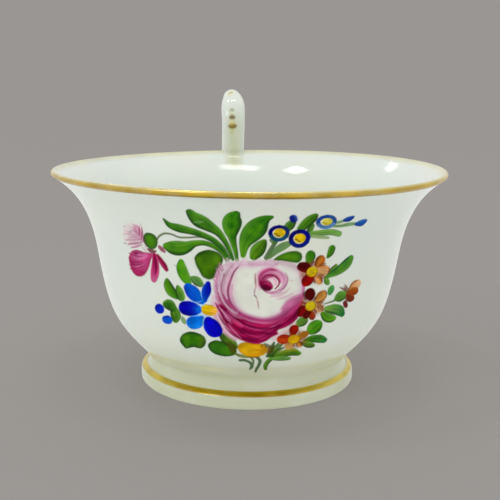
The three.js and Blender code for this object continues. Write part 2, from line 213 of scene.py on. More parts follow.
def joined(*lines):
    """Lines that follow on from each other, with the shared points kept once."""
    return np.vstack([lines[0]] + [line[1:] for line in lines[1:]])


def reach_along(line):
    """The distance run along a line at each of its points."""
    return np.concatenate([[0], np.cumsum(np.linalg.norm(np.diff(line, axis=0), axis=1))])


def right_of(line):
    """Unit normals to the right of the way a line runs."""
    run = np.gradient(line, axis=0)
    run /= np.linalg.norm(run, axis=1, keepdims=True)
    return np.stack([run[:, 1], -run[:, 0]], axis=1)


def rounded_corners(corners, radius):
    """The line through the corners, with each inner corner turned into a small curve."""
    corners = np.array(corners, float)
    line = [corners[0]]
    for before, here, after in zip(corners, corners[1:], corners[2:]):
        back = before - here
        ahead = after - here
        cut = min(radius, np.linalg.norm(back) / 2, np.linalg.norm(ahead) / 2)
        start = here + back / np.linalg.norm(back) * cut
        end = here + ahead / np.linalg.norm(ahead) * cut
        t = np.linspace(0, 1, FOOT_STEPS)[:, None]
        line.extend((1 - t) ** 2 * start + 2 * (1 - t) * t * here + t**2 * end)
    line.append(corners[-1])
    return np.array(line)


lip_centre = np.array([RIM_RADIUS - LIP_THICKNESS / 2, RIM_HEIGHT - LIP_THICKNESS / 2])
lip_outside = lip_centre + out_of_wall(RIM_LEAN) * LIP_THICKNESS / 2
lip_inside = lip_centre - out_of_wall(RIM_LEAN) * LIP_THICKNESS / 2
waist_outside = np.array([WAIST_RADIUS, WAIST_HEIGHT])
waist_inside = waist_outside - out_of_wall(WAIST_LEAN) * WALL_THICKNESS
base_edge = np.array([BASE_RADIUS, FOOT_HEIGHT])
floor_centre = np.array([0, FOOT_HEIGHT + FLOOR_THICKNESS])
base_way, waist_way, rim_way = (along_lean(lean) for lean in (BASE_LEAN, WAIST_LEAN, RIM_LEAN))

outer_wall = joined(
    arc(base_edge, base_way, waist_outside, waist_way, BELLY_FULLNESS, WALL_STEPS),
    arc(waist_outside, waist_way, lip_outside, rim_way, FLARE_FULLNESS, WALL_STEPS),
)
inner_wall = joined(
    arc(floor_centre, np.array([1, 0]), waist_inside, waist_way, FLOOR_FULLNESS, INSIDE_STEPS),
    arc(waist_inside, waist_way, lip_inside, rim_way, FLARE_FULLNESS, INSIDE_STEPS),
)
lip_turn = np.radians(-RIM_LEAN) + np.linspace(0, np.pi, LIP_STEPS + 1)
lip_line = lip_centre + LIP_THICKNESS / 2 * np.stack([np.cos(lip_turn), np.sin(lip_turn)], axis=1)
wall_reach = reach_along(outer_wall)
wall_out = right_of(outer_wall)


def wall_at(v):
    """Radius, height and outward normal of the outer wall, at a distance v up along it from its base."""
    return [np.interp(v, wall_reach, column) for column in (*outer_wall.T, *wall_out.T)]


def around(radius, angle, height):
    """A point about the bowl's axis; angle 0 faces the front."""
    return np.stack([radius * np.sin(angle), AXIS_Y - radius * np.cos(angle), height + 0 * angle],
                    axis=-1)


def on_wall(u, v, lift):
    """Points and normals of the outer wall, lifted off it: u right of the spray's middle, v up."""
    radius, height, out, up = wall_at(v)
    angle = np.radians(SPRAY_TURN) + u / radius
    place = around(radius + out * lift, angle, height + up * lift)
    normal = np.stack([out * np.sin(angle), -out * np.cos(angle), up + 0 * angle], axis=-1)
    return place, normal


def out_of_true(corners):
    """Corners of the cup as they are after firing, with the rim slightly tilted and twisted."""
    x, y, z = np.asarray(corners, float).T
    share = (z / RIM_HEIGHT) ** 2
    return np.stack([x, y, z + share * x * (RIM_TILT + RIM_TWIST * (y - AXIS_Y) / RIM_RADIUS)], axis=1)


# Mesh makers
def add_piece(name, corners, faces, material, nodes=()):
    """A smooth mesh piece from corners in millimetres, riding on the cup."""
    mesh = bpy.data.meshes.new(name)
    mesh.from_pydata((out_of_true(corners) * MM).tolist(), [], faces)
    mesh.polygons.foreach_set("use_smooth", np.ones(len(mesh.polygons), bool))
    mesh.update()
    mesh.materials.append(material)
    piece = bpy.data.objects.new(name, mesh)
    bpy.context.scene.collection.objects.link(piece)
    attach(piece, "root")
    if nodes:
        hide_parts(*nodes)
    return piece


def turned(name, outline, material, nodes=()):
    """A piece turned about the bowl's axis; its outline has its ends on the axis or closes on itself."""
    angle = np.linspace(0, 2 * np.pi, ROUND_SEGMENTS, endpoint=False)
    corners, rings = [], []
    for radius, height in outline:
        start = len(corners)
        if radius < TINY:
            corners.append((0, AXIS_Y, height))
            rings.append([start] * ROUND_SEGMENTS)
        else:
            corners.extend(around(radius, angle, height))
            rings.append(list(range(start, start + ROUND_SEGMENTS)))
    if np.allclose(outline[0], outline[-1]) and outline[0][0] > 0:
        corners = corners[:-ROUND_SEGMENTS]
        rings[-1] = rings[0]
    faces = []
    for low, high in zip(rings, rings[1:]):
        for a in range(ROUND_SEGMENTS):
            b = (a + 1) % ROUND_SEGMENTS
            face = dict.fromkeys((low[a], low[b], high[b], high[a]))
            faces.append(tuple(face))
    return add_piece(name, np.array(corners), faces, material, nodes)


def patch(name, top, low, normal, colour, cover, cells, material, slot, nodes=()):
    """A thin closed piece over chosen cells of a grid of points, with its paint kept at its corners."""
    rows, columns = np.nonzero(cells)
    width = top.shape[1]
    first = rows * width + columns
    quads = np.stack([first, first + 1, first + width + 1, first + width], axis=1)
    used, quads = np.unique(quads, return_inverse=True)
    quads = quads.reshape(-1, 4)
    count = len(used)
    edges = np.concatenate([quads[:, [k, (k + 1) % 4]] for k in range(4)])
    keys = edges[:, 0] * count + edges[:, 1]
    border = edges[~np.isin(keys, edges[:, 1] * count + edges[:, 0])]
    sides = np.stack([border[:, 0], border[:, 0] + count, border[:, 1] + count, border[:, 1]], axis=1)
    faces = np.concatenate([quads, quads[:, ::-1] + count, sides])

    def take(grid):
        return grid.reshape(-1, *grid.shape[2:])[used]

    corners = np.concatenate([take(top), take(low)])
    piece = add_piece(name, corners, faces.tolist(), material, nodes)
    normals = np.concatenate([take(normal), -take(normal)])
    piece.data.normals_split_custom_set_from_vertices(normals.tolist())
    paint = piece.data.attributes.new("paint", "FLOAT_COLOR", "POINT")
    shade = np.concatenate([take(colour), take(cover)[:, None]], axis=1)
    paint.data.foreach_set("color", np.concatenate([shade, shade]).astype(np.float32).ravel())
    return piece


# Materials
def to_linear(colour):
    """Linear values of a colour given as screen values from 0 to 255."""
    share = np.asarray(colour, float) / 255
    return np.where(share <= 0.04045, share / 12.92, ((share + 0.055) / 1.055) ** 2.4)


def new_material(name):
    """A material with a principled shader, and its node tree."""
    material = bpy.data.materials.new(name)
    material.use_nodes = True
    return material, material.node_tree


def node(tree, kind, **settings):
    """A new node with its settings."""
    made = tree.nodes.new(kind)
    for key, value in settings.items():
        setattr(made, key, value)
    return made


def noise(tree, scale, detail=2.0):
    """Noise about the cup, the same for every piece at the same place."""
    coordinates = node(tree, "ShaderNodeTexCoord")
    texture = node(tree, "ShaderNodeTexNoise")
    texture.inputs["Scale"].default_value = scale
    texture.inputs["Detail"].default_value = detail
    tree.links.new(coordinates.outputs["Object"], texture.inputs["Vector"])
    return texture.outputs["Fac"]


def ramp(tree, value, *stops):
    """Colours at places along a value."""
    made = node(tree, "ShaderNodeValToRGB")
    elements = made.color_ramp.elements
    while len(elements) < len(stops):
        elements.new(1.0)
    for element, (place, colour) in zip(elements, stops):
        element.position = place
        element.color = (*to_linear(colour), 1)
    tree.links.new(value, made.inputs["Fac"])
    return made.outputs["Color"]


def level(tree, value, low, high, to_low, to_high):
    """A value carried over from one range to another."""
    made = node(tree, "ShaderNodeMapRange")
    for key, number in zip(("From Min", "From Max", "To Min", "To Max"), (low, high, to_low, to_high)):
        made.inputs[key].default_value = number
    tree.links.new(value, made.inputs["Value"])
    return made.outputs["Result"]


def mix(tree, share, first, second):
    """Two colours mixed by a share; the second is a socket or one plain colour."""
    made = node(tree, "ShaderNodeMix", data_type="RGBA")
    tree.links.new(share, made.inputs["Factor"])
    tree.links.new(first, made.inputs["A"])
    if isinstance(second, tuple):
        made.inputs["B"].default_value = (*to_linear(second), 1)
    else:
        tree.links.new(second, made.inputs["B"])
    return made.outputs["Result"]


GLAZE = (225, 231, 222)
GLAZE_COOL = (222, 230, 224)
GLAZE_WARM = (227, 230, 217)
# Deeper, yellower tone of gathered glaze, also laid on as painted shade
GLAZE_POOL_SHADE = (202, 206, 172)
GLAZE_SPECK = (150, 140, 112)
GLAZE_ROUGHNESS = 0.1
GLAZE_ROUGHNESS_RANGE = (0.07, 0.13)
SPECK_LEVELS = (0.9, 0.93, 0.0, 0.35)
METAL_COVERS = (0.35, 0.9)
RIPPLE_STRENGTH = 0.05
RIPPLE_DEPTH = 0.3

# Scales of the noise in the glaze, in waves to the metre
CLOUD_SCALE = 45
POOL_SHADE_SCALE = 90
SPECK_SCALE = 900
SHEEN_SCALE = 70
RIPPLE_SCALE = 160


def glaze_colour(tree):
    """Pale green-white glaze: a little cloudy, with rare specks, and deeper and yellower where glaze
    gathered and where shade is painted.
    """
    cloud = ramp(tree, noise(tree, CLOUD_SCALE), (0.3, GLAZE_COOL), (0.5, GLAZE), (0.7, GLAZE_WARM))
    pool_shade_share = node(tree, "ShaderNodeAttribute", attribute_name="pool_and_shade")
    pool_and_shade = ramp(tree, noise(tree, POOL_SHADE_SCALE), (0.45, GLAZE_POOL_SHADE), (0.95, GLAZE_WARM))
    body = mix(tree, pool_shade_share.outputs["Fac"], cloud, pool_and_shade)
    specks = level(tree, noise(tree, SPECK_SCALE, detail=0.0), *SPECK_LEVELS)
    return mix(tree, specks, body, GLAZE_SPECK)


def glaze_bump(tree, shader):
    """The slight ripple of a fired glaze."""
    bump = node(tree, "ShaderNodeBump")
    bump.inputs["Strength"].default_value = RIPPLE_STRENGTH
    bump.inputs["Distance"].default_value = RIPPLE_DEPTH * MM
    tree.links.new(noise(tree, RIPPLE_SCALE, detail=1.0), bump.inputs["Height"])
    tree.links.new(bump.outputs["Normal"], shader.inputs["Normal"])


def porcelain_material():
    """The bare glaze of the bowl, the foot ring and the handle."""
    material, tree = new_material("porcelain_glaze")
    shader = tree.nodes["Principled BSDF"]
    tree.links.new(glaze_colour(tree), shader.inputs["Base Color"])
    rough = level(tree, noise(tree, SHEEN_SCALE), 0.3, 0.7, *GLAZE_ROUGHNESS_RANGE)
    tree.links.new(rough, shader.inputs["Roughness"])
    glaze_bump(tree, shader)
    return material


def painted_material(name, metal, roughness, shine):
    """Paint or gold over the glaze: where its cover thins out, the glaze shows."""
    material, tree = new_material(name)
    shader = tree.nodes["Principled BSDF"]
    paint = node(tree, "ShaderNodeAttribute", attribute_name="paint")
    cover = paint.outputs["Alpha"]
    tree.links.new(mix(tree, cover, glaze_colour(tree), paint.outputs["Color"]),
                   shader.inputs["Base Color"])
    tree.links.new(level(tree, cover, 0.0, 1.0, GLAZE_ROUGHNESS, roughness), shader.inputs["Roughness"])
    shader.inputs["Specular IOR Level"].default_value = shine
    if metal:
        tree.links.new(level(tree, cover, *METAL_COVERS, 0.0, metal), shader.inputs["Metallic"])
    glaze_bump(tree, shader)
    return material


porcelain = porcelain_material()
enamel = painted_material("enamel", metal=0, roughness=0.16, shine=0.03)
gilding = painted_material("gilding", metal=0.85, roughness=0.3, shine=0.5)


def set_pool_and_shade(piece, share):
    """How much gathered glaze and painted shade deepen the glaze at each corner of a piece, from 0 to 1.
    """
    pool_and_shade = piece.data.attributes.new("pool_and_shade", "FLOAT", "POINT")
    pool_and_shade.data.foreach_set("value", np.asarray(share, np.float32))


def corners_of(piece):
    """The corners of a piece, in millimetres."""
    return np.array([corner.co for corner in piece.data.vertices]) / MM


# Bowl and foot ring
def pool_and_shade_low_down(corners):
    """Darker and yellower towards the bottom: glaze that ran down and gathered about the neck and on the
    foot ring, and painted shade low down.
    """
    return np.clip((POOL_SHADE_TOP - corners[:, 2]) / POOL_SHADE_DEPTH, 0, POOL_SHADE_MOST)


base_line = np.stack([np.linspace(0, BASE_RADIUS, BASE_STEPS), np.full(BASE_STEPS, FOOT_HEIGHT)], axis=1)
bowl_outline = joined(base_line, outer_wall, lip_line, inner_wall[::-1])
bowl = turned("bowl", bowl_outline, porcelain, ["bowl"])


def foot_outline():
    """The foot ring: a neck that runs out of the belly, a shoulder, an upright edge and the sole."""
    radius, height, out, up = wall_at(NECK_REACH)
    seat = np.array([radius - NECK_SINK * out, height - NECK_SINK * up])
    shoulder = np.array([SHOULDER_RADIUS, SHOULDER_HEIGHT])
    neck = arc(seat, np.array([up, -out]), shoulder, -along_lean(-NECK_LEAN), NECK_FULLNESS, NECK_STEPS)
    sole_outside = FOOT_RADIUS - SOLE_EDGE
    corners = [
        shoulder,
        (FOOT_RADIUS, PLINTH_HEIGHT),
        (FOOT_RADIUS, SOLE_EDGE),
        (sole_outside, 0),
        (sole_outside - SOLE_WIDTH, 0),
        (BASE_RADIUS - RING_WALL, FOOT_HEIGHT + RING_TUCK),
        (BASE_RADIUS - 2 * RING_TUCK, FOOT_HEIGHT + 2 * RING_TUCK),
        seat,
    ]
    return joined(neck, rounded_corners(corners, FOOT_ROUNDING))


foot_line = foot_outline()
foot_ring = turned("foot_ring", foot_line[::-1], porcelain, ["foot_ring"])
# Gathered glaze and painted shade on the foot ring
set_pool_and_shade(foot_ring, pool_and_shade_low_down(corners_of(foot_ring)))


# Handle: its middle line in the plane behind the bowl, as points (distance from the axis, height)
def outer_radius(height):
    """The radius of the outer wall at a height."""
    return np.interp(height, outer_wall[:, 1], outer_wall[:, 0])


stem_line = RIM_RADIUS - STEM_INSET + STEM_SECTION[1] / 2
back_line = RIM_RADIUS + HANDLE_REACH - BACK_SECTION[1] / 2
crest_height = RIM_HEIGHT + HANDLE_RISE - CREST_SECTION[1] / 2
root_height = RIM_HEIGHT - ROOT_DEPTH
handle_stops = np.array([
    (outer_radius(root_height) - WALL_THICKNESS, root_height),
    (stem_line, RIM_HEIGHT + STEM_RISE),
    ((stem_line + back_line) / 2, crest_height),
    (back_line, crest_height - BACK_DROP),
    (outer_radius(LOW_HEIGHT) - WALL_THICKNESS, LOW_HEIGHT),
])
upwards = np.array([0.0, 1.0])
backwards = np.array([1.0, 0.0])
handle_ways = [along_lean(ROOT_LEAN), upwards, backwards, -upwards, -along_lean(90 - LOW_SLOPE)]
handle_fullness = [ROOT_FULLNESS, RISE_FULLNESS, FALL_FULLNESS, RETURN_FULLNESS]
handle_arcs = [
    arc(start, start_way, end, end_way, fullness, WALL_STEPS)
    for start, start_way, end, end_way, fullness
    in zip(handle_stops, handle_ways, handle_stops[1:], handle_ways[1:], handle_fullness)
]
handle_line = joined(*handle_arcs)
handle_reach = reach_along(handle_line)
handle_front = -right_of(handle_line)
stop_places = [0, *np.cumsum([reach_along(stretch)[-1] for stretch in handle_arcs])]
stem_place, crest_place = stop_places[1:3]
shoulder_place = stem_place + SHOULDER_SHARE * (crest_place - stem_place)
section_places = [0, stem_place, shoulder_place, *stop_places[2:]]
section_sizes = np.array([ROOT_SECTION, STEM_SECTION, SHOULDER_SECTION, CREST_SECTION, BACK_SECTION,
                          LOW_SECTION])


def eased(value, places, sizes):
    """Sizes between places, changing smoothly through each place."""
    stretch = np.clip(np.searchsorted(places, value) - 1, 0, len(places) - 2)
    start = np.take(places, stretch)
    share = (value - start) / (np.take(places, stretch + 1) - start)
    share = np.clip(share, 0, 1) ** 2 * (3 - 2 * np.clip(share, 0, 1))
    return np.take(sizes, stretch) * (1 - share) + np.take(sizes, stretch + 1) * share


def handle_frame(distance):
    """Middle, front direction, half sizes and squareness of the handle at a distance along it."""
    middle = np.stack([np.interp(distance, handle_reach, column) for column in handle_line.T], axis=-1)
    front = np.stack([np.interp(distance, handle_reach, column) for column in handle_front.T], axis=-1)
    wide, thick, square = (eased(distance, section_places, column) for column in section_sizes.T)
    return middle, front, wide / 2, thick / 2, square


def behind(across, place):
    """A point of the handle's plane, moved across it."""
    return np.stack([across, AXIS_Y + place[..., 0], place[..., 1]], axis=-1)


def distance_to_bowl(place):
    """Distance of points (radius, height) outside the bowl's surface, and below zero inside its wall."""
    line = joined(outer_wall, lip_line, inner_wall[::-1])
    out = right_of(line)
    gap = place[:, None] - line[None]
    nearest = np.argmin((gap**2).sum(-1), axis=1)
    chosen = gap[np.arange(len(place)), nearest]
    side = (chosen * out[nearest]).sum(-1)
    return np.where(side >= 0, np.linalg.norm(chosen, axis=-1), side)


def handle_corners():
    """Rings of corners along the handle, which swells slightly where it meets the bowl."""
    distance = np.linspace(0, handle_reach[-1], HANDLE_STEPS + 1)[:, None]
    angle = np.linspace(0, 2 * np.pi, HANDLE_SIDES, endpoint=False)[None]
    middle, front, wide, thick, square = handle_frame(distance)

    def bent(value):
        return np.sign(value) * np.abs(value) ** (2 / square)

    across = bent(np.cos(angle)) * wide
    out = bent(np.sin(angle)) * thick
    reach = np.hypot(across, out)

    def placed(grow):
        scale = 1 + grow / reach
        flat = middle + front * (out * scale)[..., None]
        return across * scale, flat

    side, flat = placed(0)
    radius = np.hypot(side, flat[..., 0])
    gap = distance_to_bowl(np.stack([radius.ravel(), flat[..., 1].ravel()],
                                    axis=1)).reshape(radius.shape)
    room = np.clip(JOIN_FILLET - gap, 0, JOIN_FILLET)
    side, flat = placed(JOIN_FILLET - np.sqrt(JOIN_FILLET**2 - room**2))
    corners = behind(side, flat)
    return keep_out_of_hollow(corners)


def keep_out_of_hollow(corners):
    """Lets what stands inside the bowl run out smoothly into the bowl's inner wall."""
    offset = corners - np.array([0, AXIS_Y, 0])
    radius = np.hypot(offset[..., 0], offset[..., 1])
    height = offset[..., 2]
    inner = np.interp(height, inner_wall[:, 1], inner_wall[:, 0])
    share = np.clip((height - SADDLE_FOOT) / (SADDLE_TOP - SADDLE_FOOT), 0, 1)
    share = share**2 * (3 - 2 * share)
    wanted = inner - (inner - radius) * share + SADDLE_SINK * (1 - share)
    scale = np.where(radius < inner, wanted / radius, 1)[..., None]
    return corners + offset * [1, 1, 0] * (scale - 1)


def shade_under_handle(corners):
    """Painted shade, in the tone of gathered glaze, on the inside of the bowl below the foot of the
    handle.
    """
    x, y, z = corners.T
    inside = (y > AXIS_Y) & (np.hypot(x, y - AXIS_Y) < outer_radius(z) - LIP_THICKNESS / 2)
    flat = np.clip(1 - np.abs(x) / HANDLE_FOOT_SHADE_HALF, 0, 1) ** SHADE_BULGE
    return flat * inside * np.clip((z - HANDLE_FOOT_SHADE_LOW) / HANDLE_FOOT_SHADE_FADE, 0, 1)


def settle_foot(piece, corners):
    """Turns the shading of the handle's foot towards that of the wall that it runs out into."""
    own = np.empty(corners.shape)
    piece.data.vertices.foreach_get("normal", own.ravel())
    x, y, z = corners.T
    radius = np.hypot(x, y - AXIS_Y)
    out, up = (np.interp(z, inner_wall[:, 1], -column) for column in right_of(inner_wall).T)
    wall = np.stack([out * x / radius, out * (y - AXIS_Y) / radius, up], axis=1)
    inside = radius < np.interp(z, inner_wall[:, 1], inner_wall[:, 0]) + WALL_THICKNESS / 2
    share = inside * np.clip((SADDLE_SETTLED - z) / SADDLE_EASE, 0, 1)
    piece.data.normals_split_custom_set_from_vertices((own + (wall - own) * share[:, None]).tolist())


def shade_on_handle(corners):
    """Painted shade, in the tone of gathered glaze: deepest along the middle of the handle's face and
    towards its foot.
    """
    flat = np.clip(1 - np.abs(corners[:, 0]) / HANDLE_SHADE_HALF, 0, 1) ** SHADE_BULGE
    return flat * np.clip((HANDLE_SHADE_TOP - corners[:, 2]) / HANDLE_SHADE_DEPTH, 0, 1)


def add_handle():
    """The handle as one closed strap, with its glaze, painted shade along its face, and the shading of
    its foot.
    """
    corners = handle_corners()
    count = HANDLE_SIDES
    ring = np.arange(count)
    faces = [tuple(ring)]
    for step in range(HANDLE_STEPS):
        here = step * count + ring
        beside = step * count + (ring + 1) % count
        faces.extend(zip(here, here + count, beside + count, beside))
    faces.append(tuple(HANDLE_STEPS * count + ring[::-1]))
    faces = [tuple(int(corner) for corner in face) for face in faces]
    piece = add_piece("handle", corners.reshape(-1, 3), faces, porcelain, ["handle"])
    # Painted shade along the middle of the handle and towards its foot
    set_pool_and_shade(piece, shade_on_handle(corners.reshape(-1, 3)))
    settle_foot(piece, corners.reshape(-1, 3))


add_handle()
bowl_corners = corners_of(bowl)
# Gathered glaze with painted shade low down, and painted shade on the inner wall below the handle's foot
set_pool_and_shade(bowl, np.maximum(pool_and_shade_low_down(bowl_corners), shade_under_handle(bowl_corners)))


# Painting: strokes are points (u, v, half width) in millimetres, laid on a canvas in the painter's order
BRISTLES = 16
STROKE_PITCH = 1.3
OUTLINE_PITCH = 2
GAP_START = 1.6
GAP_GAIN = 2.4
OWNED_FROM = 0.3
FAINTEST = 0.012
MOTTLE_SIZE = 1.2
MOTTLE_DEPTH = 0.14
LIGHT_ON_FRONT = 0.88
FOLD_POINTS = 24


def smooth_line(points, step, closed=False):
    """Closely spaced points on a smooth line through the given ones."""
    points = np.array(points, float)
    if closed:
        ends = np.vstack([points[-1:], points, points[:2]])
    else:
        ends = np.vstack([2 * points[0] - points[1], points, 2 * points[-1] - points[-2]])
    stretches = []
    for a, b, c, d in zip(ends, ends[1:], ends[2:], ends[3:]):
        t = np.linspace(0, 1, max(3, int(np.linalg.norm(c[:2] - b[:2]) / step)), endpoint=False)[:, None]
        stretches.append((2 * b + (c - a) * t + (2 * a - 5 * b + 4 * c - d) * t**2
                          + (3 * b - a - 3 * c + d) * t**3) / 2)
    return np.vstack([*stretches, ends[-2:-1]])


def spread(line, count):
    """A given count of points, spread evenly over the points of a line."""
    shares = np.linspace(0, 1, len(line))
    return np.stack([np.interp(np.linspace(0, 1, count), shares, column) for column in line.T], axis=1)


def beside(path, side, inset=0.88, width=0.1):
    """A thin line along one edge of a stroke: side 1 is to the left of its way, -1 to the right."""
    line = np.array(path, float)
    run = np.gradient(line[:, :2], axis=0)
    run /= np.linalg.norm(run, axis=1, keepdims=True)
    left = np.stack([-run[:, 1], run[:, 0]], axis=1)
    edge = line[:, :2] + left * side * line[:, 2:] * inset
    return [(u, v, width) for u, v in edge]


def cloud(rows, columns, cells):
    """Soft random blotches from 0 to 1 over a grid."""
    coarse = rng.random((cells[0] + 2, cells[1] + 2))
    places = []
    for count, size in zip((rows, columns), cells):
        place = np.linspace(0, size, count)
        places.append(np.floor(place) + (place % 1) ** 2 * (3 - 2 * (place % 1)))
    down = np.array([np.interp(places[0], np.arange(cells[0] + 2), column) for column in coarse.T]).T
    return np.array([np.interp(places[1], np.arange(cells[1] + 2), row) for row in down])


class Canvas:
    """A sheet of paint: at each point a colour, how much it covers, and the piece that it belongs to."""

    def __init__(self, left, right, low, high, step):
        self.step = step
        self.u, self.v = np.meshgrid(np.arange(left, right, step), np.arange(low, high, step))
        self.colour = np.zeros((*self.u.shape, 3))
        self.cover = np.zeros(self.u.shape)
        self.owner = np.full(self.u.shape, -1)
        self.mottle = cloud(*self.u.shape,
                            (int((high - low) / MOTTLE_SIZE), int((right - left) / MOTTLE_SIZE)))
        self.pieces = []
        self.current = -1

    def take(self, name):
        """The strokes that follow belong to this piece."""
        if name not in self.pieces:
            self.pieces.append(name)
        self.current = self.pieces.index(name)

    def window(self, line, margin):
        """The part of the canvas that a line with a margin round it lies on."""
        low = np.searchsorted(self.v[:, 0], line[:, 1].min() - margin)
        high = np.searchsorted(self.v[:, 0], line[:, 1].max() + margin)
        left = np.searchsorted(self.u[0], line[:, 0].min() - margin)
        right = np.searchsorted(self.u[0], line[:, 0].max() + margin)
        return slice(low, high), slice(left, right)

    def stroke(self, path, colours, cover=1.0, soft=0.2, streak=0.1, dry=0.0, patchy=0.0, tip=None,
               fade=(1, 1)):
        """One brush stroke; its colours run from its left to its right, and tip is its last colour."""
        line = smooth_line(path, self.step * STROKE_PITCH)
        place = self.window(line, line[:, 2].max() + soft)
        gap_u = self.u[place][..., None] - line[:, 0]
        gap_v = self.v[place][..., None] - line[:, 1]
        room = line[:, 2] - np.hypot(gap_u, gap_v)
        best = room.argmax(axis=-1)[..., None]
        room = np.take_along_axis(room, best, -1)[..., 0]
        run = np.gradient(line[:, :2], axis=0)
        run /= np.linalg.norm(run, axis=1, keepdims=True) + TINIEST
        side = np.take_along_axis(gap_v * run[:, 0] - gap_u * run[:, 1], best, -1)[..., 0]
        best = best[..., 0]
        across = np.clip(0.5 - side / (2 * line[best, 2] + TINIEST), 0, 1)
        along = best / (len(line) - 1)
        hair = self.bristle_marks(across, along)
        shade = self.shades(across, along, colours, tip) * (1 + streak * (hair - 0.5) * 2)[..., None]
        amount = cover * np.interp(along, np.linspace(0, 1, len(fade)), fade) * (1 - dry * hair)
        self.lay(place, shade, amount, room / soft + 0.5, patchy)

    def fill(self, outline, edge, middle, cover=1.0, soft=0.25, depth=1.0, patchy=0.0):
        """A filled shape inside a smooth closed outline, from its edge colour to its middle colour."""
        line = smooth_line(outline, self.step * OUTLINE_PITCH, closed=True)
        place = self.window(line, soft)
        u, v = self.u[place], self.v[place]
        gap = np.hypot(u[..., None] - line[:, 0], v[..., None] - line[:, 1]).min(axis=-1)
        inside = np.zeros(u.shape, bool)
        for (u0, v0), (u1, v1) in zip(line, line[1:]):
            if v0 != v1:
                inside ^= ((v0 > v) != (v1 > v)) & (u < u0 + (v - v0) * (u1 - u0) / (v1 - v0))
        room = np.where(inside, gap, -gap)
        share = np.clip(room / depth, 0, 1)[..., None]
        shade = np.array(edge, float) * (1 - share) + np.array(middle, float) * share
        self.lay(place, shade, np.full(u.shape, cover), room / soft + 0.5, patchy)

    @staticmethod
    def bristle_marks(across, along):
        """Marks from 0 to 1 that run along a stroke, as the hairs of a brush leave them."""
        hairs = rng.random((2, BRISTLES))
        start, end = (np.interp(across * (BRISTLES - 1), np.arange(BRISTLES), row) for row in hairs)
        return start * (1 - along) + end * along

    @staticmethod
    def shades(across, along, colours, tip):
        """Colours across a stroke, which turn towards the tip's colour at its end."""
        colours = np.atleast_2d(np.array(colours, float))
        places = np.linspace(0, 1, len(colours))
        shade = np.stack([np.interp(across, places, channel) for channel in colours.T], axis=-1)
        if tip is None:
            return shade
        share = along[..., None] ** 2
        return shade * (1 - share) + np.array(tip, float) * share

    def lay(self, place, shade, amount, edge, patchy):
        """Paint over what is there already; edge runs from 0 to 1 across the paint's soft border."""
        mottle = self.mottle[place]
        edge = np.clip(edge, 0, 1)
        amount = amount * edge**2 * (3 - 2 * edge) * (1 - patchy * np.clip(GAP_START - GAP_GAIN * mottle,
                                                                           0, 1))
        depth = MOTTLE_DEPTH * (1 - shade.min(axis=-1, keepdims=True) / 255)
        shade = shade * (1 + depth * (2 * mottle[..., None] - 1))
        total = amount + self.cover[place] * (1 - amount)
        weight = np.where(total > TINY, amount / np.maximum(total, TINY), 1)[..., None]
        self.colour[place] = self.colour[place] * (1 - weight) + shade * weight
        self.cover[place] = total
        owner = self.owner[place]
        taken = (amount > OWNED_FROM) | ((owner < 0) & (amount > 0))
        self.owner[place] = np.where(taken, self.current, owner)

    def build(self, surface, material, slot_of, pool_and_shade_at, nodes):
        """One thin closed piece for each painted piece, lying on the surface."""
        top, _ = surface(self.u, self.v, PAINT_LIFT + PAINT_RELIEF * self.cover)
        low, _ = surface(self.u, self.v, PAINT_SEAT)
        normal = np.cross(np.gradient(top, axis=1), np.gradient(top, axis=0))
        normal /= np.linalg.norm(normal, axis=-1, keepdims=True)
        colour = np.clip(to_linear(np.clip(self.colour, 0, 255)) / LIGHT_ON_FRONT, 0, 1)
        corners = [(slice(None, -1), slice(None, -1)), (slice(None, -1), slice(1, None)),
                   (slice(1, None), slice(None, -1)), (slice(1, None), slice(1, None))]
        owner = np.max([self.owner[corner] for corner in corners], axis=0)
        painted = np.max([self.cover[corner] for corner in corners], axis=0) > FAINTEST
        for index, name in enumerate(self.pieces):
            cells = (owner == index) & painted
            rows, columns = (np.flatnonzero(cells.any(axis=axis)) for axis in (1, 0))
            part = slice(rows[0], rows[-1] + 2), slice(columns[0], columns[-1] + 2)
            inner = slice(rows[0], rows[-1] + 1), slice(columns[0], columns[-1] + 1)
            grids = [grid[part] for grid in (top, low, normal, colour, self.cover)]
            node_names = [name] if name in nodes else []
            piece = patch(name, *grids, cells[inner], material, slot_of(name), node_names)
            # Each painted piece carries the gathered glaze and painted shade of the surface beneath it
            set_pool_and_shade(piece, pool_and_shade_at(corners_of(piece)))


# Paints, as the screen colours that they show on the front of the cup
LEAF = (52, 114, 12)
LEAF_DARK = (28, 66, 20)
LEAF_LIGHT = (98, 150, 56)
LEAF_BLUE = (26, 106, 50)
LEAF_FLUSH = (84, 122, 6)
OLIVE = (82, 100, 26)
BROWN_GREEN = (66, 66, 10)
STEM = (82, 98, 56)
CRIMSON = (134, 0, 62)
CRIMSON_DARK = (96, 0, 42)
ROSE = (172, 56, 108)
PINK = (206, 138, 170)
WHITE = (215, 216, 206)
NAVY = (0, 2, 96)
COBALT = (0, 80, 194)
SKY = (20, 122, 216)
SLATE = (76, 118, 164)
OXBLOOD = (78, 6, 2)
RED = (120, 4, 4)
VERMILION = (170, 54, 12)
ORANGE = (172, 102, 32)
PEACH = (200, 148, 98)
BROWN = (104, 50, 10)
YELLOW = (208, 172, 8)
GOLDEN = (192, 144, 4)
LEMON = (186, 164, 14)
STRAW = (196, 186, 72)
CREAM = (226, 218, 190)

LEAF_FULLNESS = 1.07
LEAF_ROOM = 0.03
spray = Canvas(*SPRAY_SHEET, PAINT_STEP)


